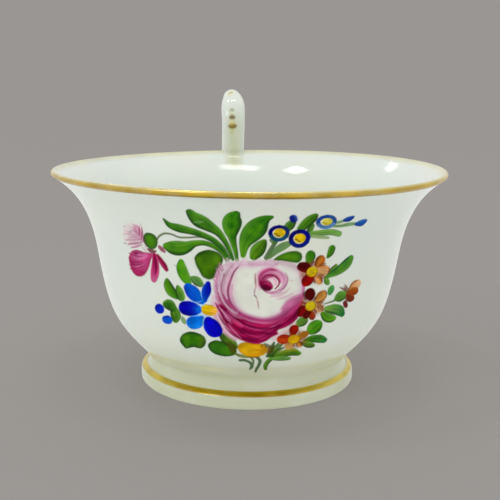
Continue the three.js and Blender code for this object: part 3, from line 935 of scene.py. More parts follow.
def leaf(name, path, shaded=-1, tint=LEAF, dark=LEAF_DARK, light=LEAF_LIGHT, tip=None):
    """A leaf of one loaded stroke: flushed with yellow, streaked with light and lined on both edges."""
    spray.take(name)
    path = [(u, v, LEAF_FULLNESS * width + LEAF_ROOM) for u, v, width in path]
    tones = (light, tint, tint, dark) if shaded < 0 else (dark, tint, tint, light)
    spray.stroke(path, tones, streak=.14, tip=tip)
    spray.stroke([(u, v, .6 * width) for u, v, width in path], LEAF_FLUSH, cover=.4, soft=.6, patchy=1,
                 fade=(.6, 1, .3))
    spray.stroke(beside(path, -shaded, inset=.45, width=.16), light, cover=.3, soft=.3,
                 fade=(0, 1, .6, 0))
    spray.stroke(beside(path, shaded), dark, cover=.8, fade=(.4, 1, .9, .4))
    spray.stroke(beside(path, -shaded, inset=.95, width=.06), dark, cover=.5, fade=(.6, .6, .8, .4))
    spray.stroke([(u, v, .06 + .08 * width) for u, v, width in path], dark, cover=.22, fade=(0, 1, 1))


def blade(name, outline, middle=LEAF, edge=LEAF_DARK):
    """A broad leaf, filled in with dark edges and a yellow flush."""
    spray.take(name)
    spray.fill(outline, edge, middle, depth=.9)
    spray.fill(outline, LEAF_FLUSH, LEAF_FLUSH, cover=.4, soft=1.6, patchy=1)
    spray.stroke([(u, v, .08) for u, v in (*outline, outline[0])], edge, cover=.6, patchy=.6)


def stem(name, path, tint=STEM):
    """A stem of one plain stroke."""
    spray.take(name)
    spray.stroke(path, tint, soft=.18, cover=.9)


def fine(tint, width, cover, *paths):
    """Fine lines that swell towards their middle."""
    for path in paths:
        swell = width * np.interp(np.linspace(0, 1, len(path)), (0, .5, 1), (.5, 1, .5))
        spray.stroke([(u, v, size) for (u, v), size in zip(path, swell)], tint, cover=cover, soft=.16)


def petal(path, colours, cover=1.0, soft=.2, line=None, side=-1, **more):
    """A petal of one stroke, and a fine line along one edge where there is one."""
    spray.stroke(path, colours, cover=cover, soft=soft, **more)
    if line:
        spray.stroke(beside(path, side), line, cover=.7, fade=(.3, 1, .6))


def paint_fan():
    """The leaves that fan out above the rose, each from its tip to its foot."""
    stem("carnation_calyx", [(-16.9, 32, .2), (-16.3, 32.8, .22), (-15.2, 33.5, .23), (-13.8, 33.5, .2),
                             (-12.2, 33, .2), (-10.5, 33.1, .2), (-8, 33.3, .18), (-5.5, 32.2, .16),
                             (-3.6, 30, .14)])
    leaf("leaf_5", [(-15, 30.9, .6), (-13.6, 30.75, 1.25), (-12.2, 30.8, 1.35), (-10.8, 31.2, 1),
                    (-9.4, 31.95, .6), (-7.6, 32.2, .46), (-5.8, 31.6, .42), (-4.3, 30.4, .38),
                    (-3.5, 29, .28)], tint=(64, 128, 20))
    leaf("leaf_1", [(-15.15, 36.8, .12), (-14, 35.5, .55), (-12.2, 34.95, .82), (-10, 34.5, .66),
                    (-8, 33.9, .56), (-6, 32.9, .48), (-4.4, 31.4, .4), (-3.2, 29.4, .26)],
         tint=(46, 110, 24))
    leaf("leaf_2", [(-10, 39, .66), (-9.4, 38, 1), (-8.3, 36.9, 1.4), (-6.9, 35.9, 1.12),
                    (-5.3, 34.7, .72), (-4.2, 33.2, .48), (-3.2, 31.2, .36), (-2.5, 29.2, .24)],
         tint=(50, 112, 24))
    fine((120, 164, 112), .3, .5, [(-9.4, 36.5), (-8.4, 36.6), (-7.7, 36.7)])
    leaf("leaf_4", [(4, 38.2, .36), (3, 37.75, .8), (2.1, 36.8, 1.35), (1.4, 35.5, 1.8), (.5, 34.2, 1.6),
                    (-.2, 33, 1.15), (-.6, 31.7, .75), (-.75, 30, .4)], shaded=1, tint=(38, 112, 8),
         tip=(78, 136, 30))
    leaf("leaf_3", [(-2.05, 38.95, .7), (-2.55, 38, 1.22), (-2.7, 36.7, 1.58), (-2.8, 35.2, 1.25),
                    (-2.7, 33.8, .72), (-2.4, 32.2, .48), (-2, 30.5, .34), (-1.8, 29, .24)], shaded=1,
         tint=(34, 110, 4), tip=(70, 122, 30))
    blade("leaf_6", [(-9.4, 29.2), (-8.5, 30.3), (-6.9, 30.85), (-5.3, 30.5), (-4.3, 29.5), (-4.5, 28.2),
                     (-5.2, 27), (-5.6, 25.9), (-6.6, 25.2), (-7.9, 25.6), (-8.7, 26.9), (-9.2, 28)],
          (58, 106, 8))
    leaf("leaf_12", [(1.15, 29.9, .72), (1.75, 31, 1.15), (2.35, 32, .92), (2.85, 32.8, .45)],
         tint=(66, 112, 16))
    blade("leaf_13", [(4.6, 29.2), (5.6, 30), (7, 30.6), (8.5, 30.8), (9.6, 30.2), (9.7, 29.2),
                      (9, 28.5), (7.5, 28.7), (6, 29), (5.1, 28.9)], (72, 134, 18), (40, 82, 22))


def paint_left_leaves():
    """The leaves to the left of the rose, from the top down."""
    leaf("leaf_7", [(-12, 28.1, .5), (-12, 27, .92), (-11.6, 25.8, 1), (-11, 24.8, .8),
                    (-10.5, 24.2, .4)], tint=(72, 146, 20), dark=LEAF)
    leaf("leaf_24", [(-9.9, 25.2, .35), (-9.1, 24.7, .8), (-8.4, 24.2, .6)], tint=(90, 138, 70),
         dark=(50, 90, 50))
    leaf("leaf_8", [(-15, 24.1, .45), (-14.8, 23.1, .88), (-14.2, 22.1, .96), (-13.2, 21.3, .6)],
         shaded=1)
    leaf("leaf_23", [(-12.8, 23.2, .3), (-12.5, 22.3, .72), (-12.2, 21.3, .8)], tint=(72, 128, 38))
    leaf("leaf_9", [(-13.7, 18.4, .8), (-13.4, 17.4, 1.02), (-13.5, 16.5, .7)], tint=(66, 116, 26))
    leaf("leaf_9", [(-15.3, 19.3, .78), (-14.6, 19.3, 1.05), (-14, 18.9, .8)], tint=(44, 100, 20))
    fine((84, 128, 58), .5, .85, [(-12, 17.1), (-11.8, 16.5), (-11.6, 15.9)])
    blade("leaf_10", [(-12.7, 12.2), (-12.1, 13.3), (-10.9, 14.15), (-9.5, 14.25), (-8.1, 13.7),
                      (-7.5, 12.6), (-7.7, 11.3), (-8.6, 10.4), (-9.8, 10.5), (-10.5, 10.3),
                      (-11.6, 9.8), (-12.2, 10.5), (-12.7, 11.3)], (46, 112, 4))
    spray.stroke([(-8.4, 13.2, .3), (-8.1, 12.2, .5), (-8.6, 11.2, .4)], OLIVE, cover=.6, soft=.7)
    blade("leaf_11", [(-7.1, 11.2), (-6.7, 12.2), (-5.6, 12.8), (-4.2, 12.6), (-2.8, 12.3), (-2, 11.4),
                      (-1.8, 10), (-2.4, 9.1), (-3.8, 8.7), (-5.4, 9), (-6.5, 9.8)], (48, 116, 10))
    leaf("leaf_11", [(-4.6, 14.3, .45), (-3.8, 13.4, .85), (-2.9, 12.5, .95), (-2.1, 11.5, .6)],
         tint=(56, 94, 24), dark=(40, 56, 14))
    spray.stroke([(-3, 12.2, .5), (-2.5, 11.2, .75), (-2.4, 10.1, .5)], BROWN_GREEN, cover=.8, soft=.5,
                 streak=.25)


def paint_right_leaves():
    """The leaves to the right of the rose, from the top down."""
    leaf("leaf_25", [(11.2, 28.8, .7), (11.35, 29.6, .9), (11.3, 30, .7)], tint=(48, 118, 16))
    leaf("leaf_16", [(14.8, 29.2, .25), (15.3, 30, .6), (15.55, 30.8, .68)])
    leaf("leaf_28", [(16.7, 27.2, .4), (16, 26.5, .52), (15.3, 25.8, .4)], tint=(92, 140, 44))
    leaf("leaf_17", [(20, 28.4, .6), (19.3, 27.6, .95), (18.2, 26.8, .92), (16.9, 26.1, .7),
                     (15.5, 25.6, .46), (14.5, 25.1, .26)], tint=(62, 124, 40), dark=(28, 84, 40))
    leaf("leaf_29", [(14.6, 24.8, .35), (14.9, 24.4, .5), (15.2, 24, .32)], tint=(92, 140, 60))
    leaf("leaf_26", [(15.7, 22.1, .45), (15.9, 22.7, .62), (16.1, 23.1, .45)], tint=(66, 146, 82),
         dark=LEAF_BLUE)
    stem("leaf_18", [(14.8, 20, .14), (16.4, 20.3, .22), (17.2, 20.6, .34)])
    leaf("leaf_18", [(17.3, 20.75, .5), (18.1, 21.05, .98), (18.9, 21.2, .8)], tint=(72, 124, 46))
    leaf("leaf_19", [(15.1, 18.9, .5), (16.8, 18.65, .92), (18.2, 18.1, .96), (18.95, 17.3, .6)],
         tint=(114, 160, 74), tip=LEAF_BLUE)
    leaf("leaf_19", [(14.4, 18, .45), (15.3, 17.2, .88), (16.3, 16.75, .8), (17.1, 16.7, .42)],
         tint=(76, 142, 22))
    leaf("leaf_27", [(9.75, 16.45, .7), (10.3, 16.8, .9), (10.8, 17, .6)], tint=(86, 126, 46))
    leaf("leaf_20", [(12.2, 14.65, .85), (12.9, 15.3, 1.38), (13.5, 15.75, .95)], tint=(66, 140, 16),
         dark=(36, 92, 20))
    leaf("leaf_21", [(11.3, 12.5, .5), (12.6, 12.7, .8), (14.2, 12.4, .9), (15.25, 11.85, .62)],
         tint=(42, 102, 10), tip=LEAF_BLUE)
    leaf("leaf_21", [(10.7, 12, .4), (11.8, 11.35, .74), (12.7, 10.95, .55)], tint=(78, 112, 30))


def paint_foot_of_spray():
    """The yellow flower under the rose, and the cut stems below it."""
    stem("stem_2", [(2.1, 8.6, .36), (2.6, 7.5, .34), (2.4, 6, .33), (2, 4.5, .3), (1.8, 3.3, .18)],
         (36, 72, 20))
    stem("stem_1", [(-1, 7.65, .42), (-.3, 7.7, .42), (.6, 7.1, .36), (1.1, 6.2, .36), (1, 5.1, .32),
                    (.75, 4.4, .18)], (40, 80, 26))
    stem("stem_1", [(.9, 8.7, .26), (1.35, 7.6, .22), (1.35, 6.4, .16)], (62, 88, 30))
    leaf("leaf_22", [(3.7, 4.3, .24), (3.65, 5.6, .36), (4, 7, .42), (4.7, 8.1, .46), (5.6, 8.8, .56),
                     (7, 9.4, .88), (8.6, 9.7, .98), (9.9, 9.1, .6)], tint=(76, 120, 18))
    spray.stroke([(6.6, 10, .4), (8.2, 10.4, .5), (9.2, 10.2, .4)], (128, 128, 16), cover=.6, soft=.6)
    leaf("leaf_22", [(5.1, 8, .4), (6.6, 8, .7), (8, 7.8, .5)], tint=(86, 136, 70), dark=(60, 104, 50))
    for reach, rise, foot in ((5.1, 12.5, 4), (5.9, 12.2, 4.3), (6.7, 12.3, 4.8), (6.9, 11.1, 4.7)):
        stem("leaf_22", [(reach, rise, .24), (reach * .55 + foot * .45, rise * .5 + 4.9, .44),
                         (foot, 8.9, .4)], (46, 84, 16))
    fine((124, 140, 40), .16, .6, [(4.6, 9.6), (5.4, 10.9), (6, 12)],
         [(5.2, 9.4), (6.1, 10.3), (6.9, 10.9)])
    stem("leaf_11", [(-1.9, 9.6, .3), (-1.1, 9.1, .46), (0, 8.8, .4), (.9, 8.7, .2)], (92, 108, 16))
    spray.take("yellow_flower")
    spray.fill([(-1.55, 11.2), (-1.2, 12.3), (0, 12.7), (2, 12.5), (3.5, 12), (4, 10.8), (3.5, 9.6),
                (2.6, 8.95), (1.3, 8.65), (.1, 9), (-1, 9.9)], (182, 132, 4), (204, 156, 10), soft=.3)
    spray.stroke([(2.2, 9.6, .3), (3.1, 10.3, .5), (3.4, 11.2, .35)], (180, 124, 12), cover=.7, soft=.6)
    fine((196, 112, 8), .2, .7, [(1.3, 11), (2.1, 10.7), (2.9, 11)], [(.4, 9.8), (1.4, 9.5), (2.4, 9.7)])
    fine((66, 70, 12), .42, .8, [(4.3, 9.6), (4.7, 10.6), (5, 11.8)],
         [(3.4, 12.3), (4, 11.7), (4.4, 11)])
    fine((120, 80, 8), .3, .75, [(.4, 8.9), (1.4, 8.65), (2.4, 8.8)],
         [(3.9, 9.6), (4.2, 10.6), (4.3, 11.8)], [(3, 12.2), (2.8, 11.6)])


def paint_carnation():
    """The carnation at the left, with its pale fringe and its green calyx."""
    spray.take("carnation_fringe")
    spray.fill([(-20.1, 34.2), (-21.3, 34.9), (-22.8, 35), (-24.4, 34.2), (-25.2, 32.6), (-25.1, 30.6),
                (-23.8, 29.6), (-21.8, 29.8), (-20.3, 30.8)], (216, 196, 200), (214, 186, 194), cover=.6,
               soft=1.1, patchy=.3)
    petal([(-20.4, 31.6, .5), (-21.1, 32.8, .9), (-21.5, 33.8, .7)],
          ((186, 104, 144), (202, 132, 166), PINK), cover=.8, soft=.8, streak=.25, dry=.4)
    for turn in np.radians(np.arange(96, 206, 5)):
        turn += rng.uniform(-.05, .05)
        start, reach = rng.uniform(.2, 1.2), rng.uniform(2.6, 4.6) + 1.1 * abs(math.cos(turn))
        depth = rng.uniform(0, 1)
        tint = np.array((176, 102, 138)) * depth + np.array((216, 182, 196)) * (1 - depth)
        bend = turn + rng.uniform(-.12, .12)
        fine(tint, .18, .5, [(-20 + start * math.cos(turn), 31.7 + start * math.sin(turn)),
                            (-20 + reach * .6 * math.cos(bend), 31.6 + reach * .55 * math.sin(bend)),
                            (-20 + reach * math.cos(turn), 31.4 + reach * .8 * math.sin(turn))])
    fine((146, 60, 98), .24, .75, [(-20.1, 34.1), (-20.1, 33), (-20.5, 31.6)],
         [(-20.7, 34.3), (-20.7, 33.4), (-20.9, 32.4)])
    fine((160, 86, 126), .24, .7, [(-20.2, 31.1), (-22, 30.6), (-24.2, 30.1)],
         [(-20.4, 30.6), (-21.8, 30), (-23.4, 29.5)])
    fine((186, 100, 136), .14, .6, [(-20.6, 30.2), (-19.8, 29.6), (-19, 29)],
         [(-20, 30.6), (-19.4, 30), (-18.9, 29.4)])
    fine((112, 92, 98), .18, .75, [(-24.9, 33.8), (-24.4, 33.9)], [(-23.4, 32.9), (-22.8, 32.9)])
    fine((84, 60, 68), .18, .85, [(-25.4, 30.1), (-24.8, 30.2)])
    spray.take("carnation")
    spray.fill([(-18, 29), (-20, 29.1), (-22, 29.3), (-23.6, 28.6), (-24.3, 27.3), (-24.2, 25.9),
                (-23.6, 24.7), (-22.5, 24), (-21, 24.1), (-19.8, 25), (-19, 26.3), (-18.5, 27.6)],
               (160, 44, 94), (174, 60, 112), soft=.4)
    spray.stroke([(-19.4, 28.6, .3), (-21.2, 28, .7), (-22.8, 28.2, .5)], (194, 108, 154), cover=.75,
                 soft=.7, streak=.25)
    spray.stroke([(-23.4, 26.4, .5), (-22.4, 24.9, .7), (-20.6, 24.9, .5)], (156, 24, 80), cover=.7,
                 soft=.7, streak=.25)
    fine((148, 26, 82), .18, .6,
         *([(-24.4, 28.3 - k * .8), (-22.8, 28.1 - k * .7), (-20.6, 28 - k * .45)] for k in range(5)))
    fine((122, 10, 62), .24, .75, [(-23.2, 28.6), (-22.3, 28.5), (-21.6, 28.6)],
         [(-24.4, 27.2), (-23.8, 26.9)])
    fine((206, 140, 176), .14, .6, [(-23.6, 27.6), (-22, 27.4), (-20, 28)],
         [(-23.4, 25.8), (-22, 25.9), (-20.4, 26.6)])
    petal([(-17.6, 28.8, .5), (-17.5, 27, .85), (-17.7, 25.4, 1), (-18, 24.1, .78)],
          (ROSE, (146, 14, 68), CRIMSON, ROSE), soft=.3, streak=.2, tip=(184, 82, 128))
    fine(CRIMSON_DARK, .26, .7, [(-17.5, 28.4), (-17.3, 26.6), (-17.5, 25)])
    petal([(-16.9, 28.8, .35), (-16.2, 27.8, .58), (-15.5, 26.9, .6), (-15.1, 26.3, .45)],
          (CRIMSON, (124, 12, 54), ROSE), soft=.3)
    petal([(-16.4, 30.6, .35), (-15.9, 30.2, .46), (-15.4, 29.8, .3)], (134, 40, 72), cover=.9, soft=.3)
    spray.take("carnation_calyx")
    spray.fill([(-19.9, 32), (-19.5, 33), (-18.4, 33.3), (-17.2, 32.9), (-16.7, 31.8), (-17, 30.6),
                (-17.9, 29.9), (-18.8, 30), (-19.6, 30.7)], (46, 78, 34), (62, 122, 8), soft=.3)
    fine((92, 40, 56), .22, .85, [(-19.8, 32.6), (-19.9, 31.5), (-19.4, 30.5)])
    fine((92, 8, 40), .42, .9, [(-19, 29.8), (-18.2, 29.5), (-17.3, 29.6)])


def paint_anemone():
    """The blue anemone to the left of the rose, and the two berries beside it."""
    spray.take("berry_1")
    petal([(-17.1, 18.1, 1), (-16.9, 18.2, 1.05)], ((0, 8, 130), (0, 34, 186), (0, 40, 190)), line=NAVY)
    spray.take("berry_2")
    petal([(-15.6, 16.05, .88), (-15.1, 16.15, .94)], ((0, 40, 150), (0, 76, 186), (0, 70, 186)),
          line=NAVY)
    spray.take("anemone")
    spray.stroke([(-9, 20.6, 1.5), (-8.6, 18.2, 1.6), (-7.4, 17.4, 1.2)], (158, 198, 244), cover=.7,
                 soft=1)
    spray.stroke([(-9, 21.6, .8), (-7.6, 21.8, 1)], (158, 198, 244), cover=.7, soft=.9)
    petal([(-10.7, 23.2, .92), (-9.8, 22.3, 1.38), (-8.8, 21.3, .95), (-8, 20.6, .4)],
          ((0, 88, 198), (0, 72, 186), (0, 48, 168)), tip=(6, 94, 196))
    petal([(-6.95, 24.35, .48), (-7.25, 23, .9), (-7.5, 21.8, .62), (-7.5, 20.9, .3)],
          ((0, 0, 130), (0, 10, 150), (0, 70, 186)), tip=COBALT)
    petal([(-11.3, 19.1, 1.46), (-10.3, 19.1, 1.52), (-9.1, 19.1, .95)],
          ((0, 2, 146), (0, 0, 170), (0, 0, 116)), tip=(4, 104, 226))
    petal([(-8.25, 17.4, .55), (-9.2, 16.55, 1.36), (-9.9, 16.2, 1.36)],
          (SKY, (0, 98, 200), (0, 84, 190)))
    petal([(-6.85, 17, .85), (-6.3, 15.85, 1.58), (-5.9, 15.05, 1.6)],
          ((0, 0, 136), (0, 0, 188), (0, 0, 196), (0, 24, 196)))
    fine((150, 198, 240), .12, .7, [(-8.1, 20.9), (-9, 20.55), (-10.4, 20.6)],
         [(-8.1, 17.95), (-9, 17.8), (-10.6, 17.55)], [(-7.7, 18), (-7.95, 16.6), (-7.9, 15.2)],
         [(-8, 21.2), (-8.3, 22.4), (-8.1, 23.4)])
    petal([(-7.2, 19.2, 1.05), (-6.6, 19.15, 1.1), (-6.3, 19.1, 1)], (YELLOW, (210, 176, 6), GOLDEN),
          tip=(222, 164, 50), streak=.16)
    fine((150, 150, 30), .2, .6, [(-7.8, 20), (-7.2, 20.2)])


def paint_forget_me_nots():
    """The forget-me-nots at the upper right, with their leaves and buds."""
    stem("leaf_14", [(5, 32.9, .36), (4.2, 31.4, .42), (3.3, 29.6, .44)], (48, 88, 24))
    stem("leaf_14", [(7.4, 32.4, .5), (6.2, 31.8, .78), (5, 30.9, .62), (3.9, 29.7, .36)], (72, 120, 44))
    stem("leaf_14", [(4.1, 33.1, .36), (4.6, 32.6, .44)], (70, 112, 40))
    leaf("leaf_14", [(6.8, 35.3, .55), (7.2, 36.1, .82), (7.7, 36.9, .6)], tint=(60, 112, 24))
    leaf("leaf_14", [(11.3, 36, .4), (11, 35.2, .52), (10.7, 34.6, .4)], tint=(66, 112, 40))
    leaf("leaf_14", [(9.3, 35.4, .7), (10.3, 36.7, .92), (11.1, 37.6, .9), (11.65, 38.3, .56)],
         tint=(58, 112, 14))
    leaf("leaf_15", [(11.3, 34.2, .5), (13.5, 34.3, .54), (15.3, 34.25, .58), (16.8, 33.75, .54)],
         tint=(106, 152, 80), dark=(80, 124, 60))
    stem("leaf_15", [(11.2, 33.7, .36), (13, 33.4, .4), (14.6, 33.1, .28)], (132, 160, 100))
    stem("leaf_15", [(15.3, 35.6, .32), (17, 35.5, .34), (18.6, 35.7, .44), (20.2, 35.7, .32)],
         (92, 140, 72))
    stem("leaf_15", [(15.7, 36.3, .32), (16.8, 36.45, .36), (17.6, 36.75, .3)], (100, 146, 86))
    rings = (("forget_me_not_1", 5.4, 34.55, 1.52, 1.4, .38, ((16, 34, 92), NAVY, (12, 70, 112)),
              YELLOW), ("forget_me_not_2", 9.12, 33.3, 1.58, 1.52, .44,
                        ((4, 6, 130), (6, 4, 84), (4, 20, 110)), YELLOW),
             ("forget_me_not_3", 13.95, 36.7, 1.62, 1.3, .42, ((30, 78, 148), (18, 58, 134), SLATE),
              STRAW), )
    for name, u, v, wide, high, width, colours, heart in rings:
        spray.take(name)
        turn = np.radians(np.arange(-30, 331, 30))
        spray.stroke([(u - wide * .3, v, high * .8), (u + wide * .3, v, high * .8)], CREAM, soft=.3)
        spray.stroke([(u, v + .05, high * .64), (u + .4, v + .05, high * .64)], (heart, heart, LEMON),
                     soft=.25)
        for share, tint in zip((0, 4, 8), colours):
            part = turn[share:share + 5]
            spray.stroke([(u + wide * math.cos(a), v + high * math.sin(a), width) for a in part], tint,
                         soft=.22, streak=.2)
        shade = .85 if heart == YELLOW else .2
        fine((66, 34, 6), .22, shade, [(u - .75, v - .1), (u - .45, v - .2)],
             [(u - .3, v - .45), (u + .1, v - .65)])
    buds = (("forget_me_not_bud_1", [(7.75, 38, .72), (7.9, 37.5, .7)], (10, 26, 122)),
            ("forget_me_not_bud_2", [(17.7, 36.8, .46), (18.5, 37, .64), (19.3, 37.35, .38)],
             (14, 48, 138)), ("forget_me_not_bud_3",
                              [(20.4, 35.6, .46), (21.5, 35.75, .78), (22.4, 36.1, .46)], (8, 76, 160)),
            )
    for name, path, tint in buds:
        spray.take(name)
        petal(path, ((60, 104, 170), tint, tint), soft=.25, line=NAVY)


def paint_primroses():
    """The orange primroses and the bud to the right of the rose."""
    for name, u, v in (("primrose_1", 12.1, 26.4), ("primrose_2", 12.1, 20), ("primrose_3", 8.9, 13)):
        spray.take(name)
        spray.stroke([(u - .3, v, 2.1), (u + .3, v, 2.1)], (146, 78, 36), cover=.85, soft=1.5, patchy=.4)
    spray.take("primrose_1")
    petal([(12.9, 27.9, .7), (13.3, 28.6, 1), (13.55, 28.95, .7)], (BROWN, ORANGE, (180, 86, 22)),
          line=BROWN, side=1)
    petal([(13.5, 26.8, .7), (14.1, 26.65, 1.05), (14.5, 26.6, .85)], ((206, 132, 64), PEACH, PEACH),
          line=BROWN)
    petal([(13, 25.2, .6), (13.3, 24.7, .72), (13.5, 24.4, .5)], (BROWN, (208, 140, 80), PEACH),
          line=BROWN, side=1)
    petal([(9.75, 27.7, .88), (10.4, 27.5, 1.02), (11, 27.2, .75)], (OXBLOOD, (70, 0, 2), (112, 12, 6)))
    petal([(11.6, 25.5, .7), (11, 25, 1.1), (10.65, 24.5, .75)], (RED, (136, 2, 4), (104, 2, 6)))
    fine((92, 30, 8), .45, .75, [(11.6, 27.9), (12, 28.5)], [(12.1, 25.2), (12.4, 24.5)],
         [(11.2, 26.4), (10.8, 26.3)])
    fine((136, 74, 28), .36, .7, [(13.1, 27.6), (13.8, 27.8), (14.4, 27.9)],
         [(13.2, 25.8), (13.9, 25.5), (14.3, 25.2)])
    fine(BROWN, .16, .8, [(12.2, 28), (12.6, 28.8), (13.2, 29.5)],
         [(15.2, 27.3), (15.3, 26.6), (15, 25.9)], [(12.4, 25.7), (12.9, 25.3)])
    spray.take("primrose_2")
    petal([(13.3, 21.2, .75), (13.95, 21.6, 1.05), (14.2, 21.9, .85)],
          ((140, 78, 24), (200, 138, 62), (202, 146, 78)), line=BROWN)
    petal([(12.9, 19.6, .5), (13.5, 19.3, .85), (14, 18.9, .6)], ((196, 136, 84), (208, 160, 112)),
          cover=.85)
    petal([(11.9, 18.6, .5), (12.2, 17.8, .75), (12.3, 17.4, .5)], ((150, 70, 34), (126, 34, 12), BROWN))
    petal([(11.7, 21.6, .7), (11.6, 22.3, 1.06), (11.55, 22.7, .75)], (OXBLOOD, (86, 2, 4), (70, 0, 4)))
    petal([(10.9, 19.5, .6), (10.2, 19.1, .92), (9.95, 18.5, .75)], (RED, (120, 2, 10), OXBLOOD))
    petal([(11.4, 18.7, .55), (11, 18, .7)], OXBLOOD)
    petal([(10.8, 21.5, .4), (10.75, 22.4, .5)], OXBLOOD, cover=.85, soft=.4)
    fine((96, 30, 8), .42, .75, [(12.3, 20.6), (12.7, 21.4)], [(10.3, 20.7), (10.9, 20.3)],
         [(12.6, 19.1), (13, 18.5)])
    fine((136, 74, 28), .34, .7, [(12.9, 20.5), (13.6, 20.3), (14.3, 20.4)],
         [(14.4, 19.6), (14.3, 18.7)])
    fine(BROWN, .13, .85, *([(12.8 + k * .42, 20), (13.3 + k * .42, 19.4),
                             (13.6 + k * .42, 18.6)] for k in range(3)))
    fine(BROWN, .16, .7, [(13, 20.6), (13.6, 20.5), (14.4, 20.8)],
         [(15, 21.4), (15, 22.2), (14.5, 22.8)])
    spray.take("primrose_3")
    petal([(10.1, 13.6, .6), (10.8, 13.95, .8), (11.3, 14.1, .5)],
          ((150, 100, 24), (156, 98, 20), ORANGE), line=BROWN)
    petal([(8.4, 12, .5), (8, 11.4, .84), (7.8, 11.1, .6)],
          ((182, 136, 66), (178, 132, 60), (170, 122, 48)), cover=.9, soft=.4)
    petal([(9.5, 12.4, .4), (9.9, 11.8, .62), (10.2, 11.3, .4)], (BROWN, (190, 120, 34), PEACH))
    petal([(7.6, 13.2, .9), (6.9, 13.2, 1.14), (6.55, 13.2, 1)], (VERMILION, (184, 56, 8), (140, 20, 4)),
          line=OXBLOOD, side=1)
    petal([(8.6, 14.4, .6), (8.75, 15.2, .94), (8.8, 15.5, .75)], (RED, (150, 14, 0), (110, 4, 0)))
    fine((140, 70, 22), .36, .7, [(7.9, 14), (8.2, 14.4)], [(9.5, 14), (9.9, 14.6)],
         [(9.9, 12.9), (10.6, 12.8)], [(8.9, 11.8), (9, 11.2)])
    fine(BROWN, .14, .75, [(9.2, 12.2), (9.5, 11.4), (9.7, 10.8)],
         [(9.9, 12.6), (10.4, 12), (10.7, 11.3)], [(7.8, 12), (7.9, 13), (8, 14)])
    hearts = (
        ("primrose_1", 11.85, 26.55, .98, (204, 178, 16)),
        ("primrose_2", 11.85, 19.85, .96, LEMON),
        ("primrose_3", 8.9, 13, 1.08, GOLDEN),
    )
    turns = np.radians((-150, -100, -50, 0, 40))
    for name, u, v, size, tint in hearts:
        spray.take(name)
        spray.stroke([(u - .12, v, size), (u + .12, v, size)], (tint, tint, YELLOW), soft=.25)
        fine(BROWN, .12, .6, [(u + size * math.cos(a), v + size * math.sin(a)) for a in turns])
        fine((150, 110, 10), .14, .5, [(u - .3, v + .2), (u + .2, v - .2)])
    spray.take("orange_bud")
    petal([(20.3, 21.9, .5), (21.4, 22.7, 1), (22.4, 23, .85)],
          ((140, 78, 26), (198, 144, 94), (190, 122, 60)), line=BROWN, side=1, tip=(214, 168, 124))
    petal([(20, 21.3, .5), (21.2, 21.6, .9), (22, 21.6, .72)],
          ((176, 92, 30), (150, 66, 14), (124, 46, 10)))
    petal([(19.9, 20.9, .5), (20.6, 20.4, .86), (21.2, 20.2, .6)],
          ((150, 66, 20), (112, 40, 14), (104, 36, 16)))
    petal([(19.3, 19.6, .45), (19.6, 19.1, .55), (19.8, 18.8, .4)], (110, 38, 34))
    fine(BROWN, .22, .85, [(17.9, 22.9), (18.8, 22.4), (19.8, 21.7)],
         [(19, 23.3), (19.5, 22.7), (20.1, 22)], [(19.3, 20.5), (19.7, 19.9), (19.9, 19.4)],
         [(18.8, 22.9), (19.4, 22.2), (20, 21.6)])


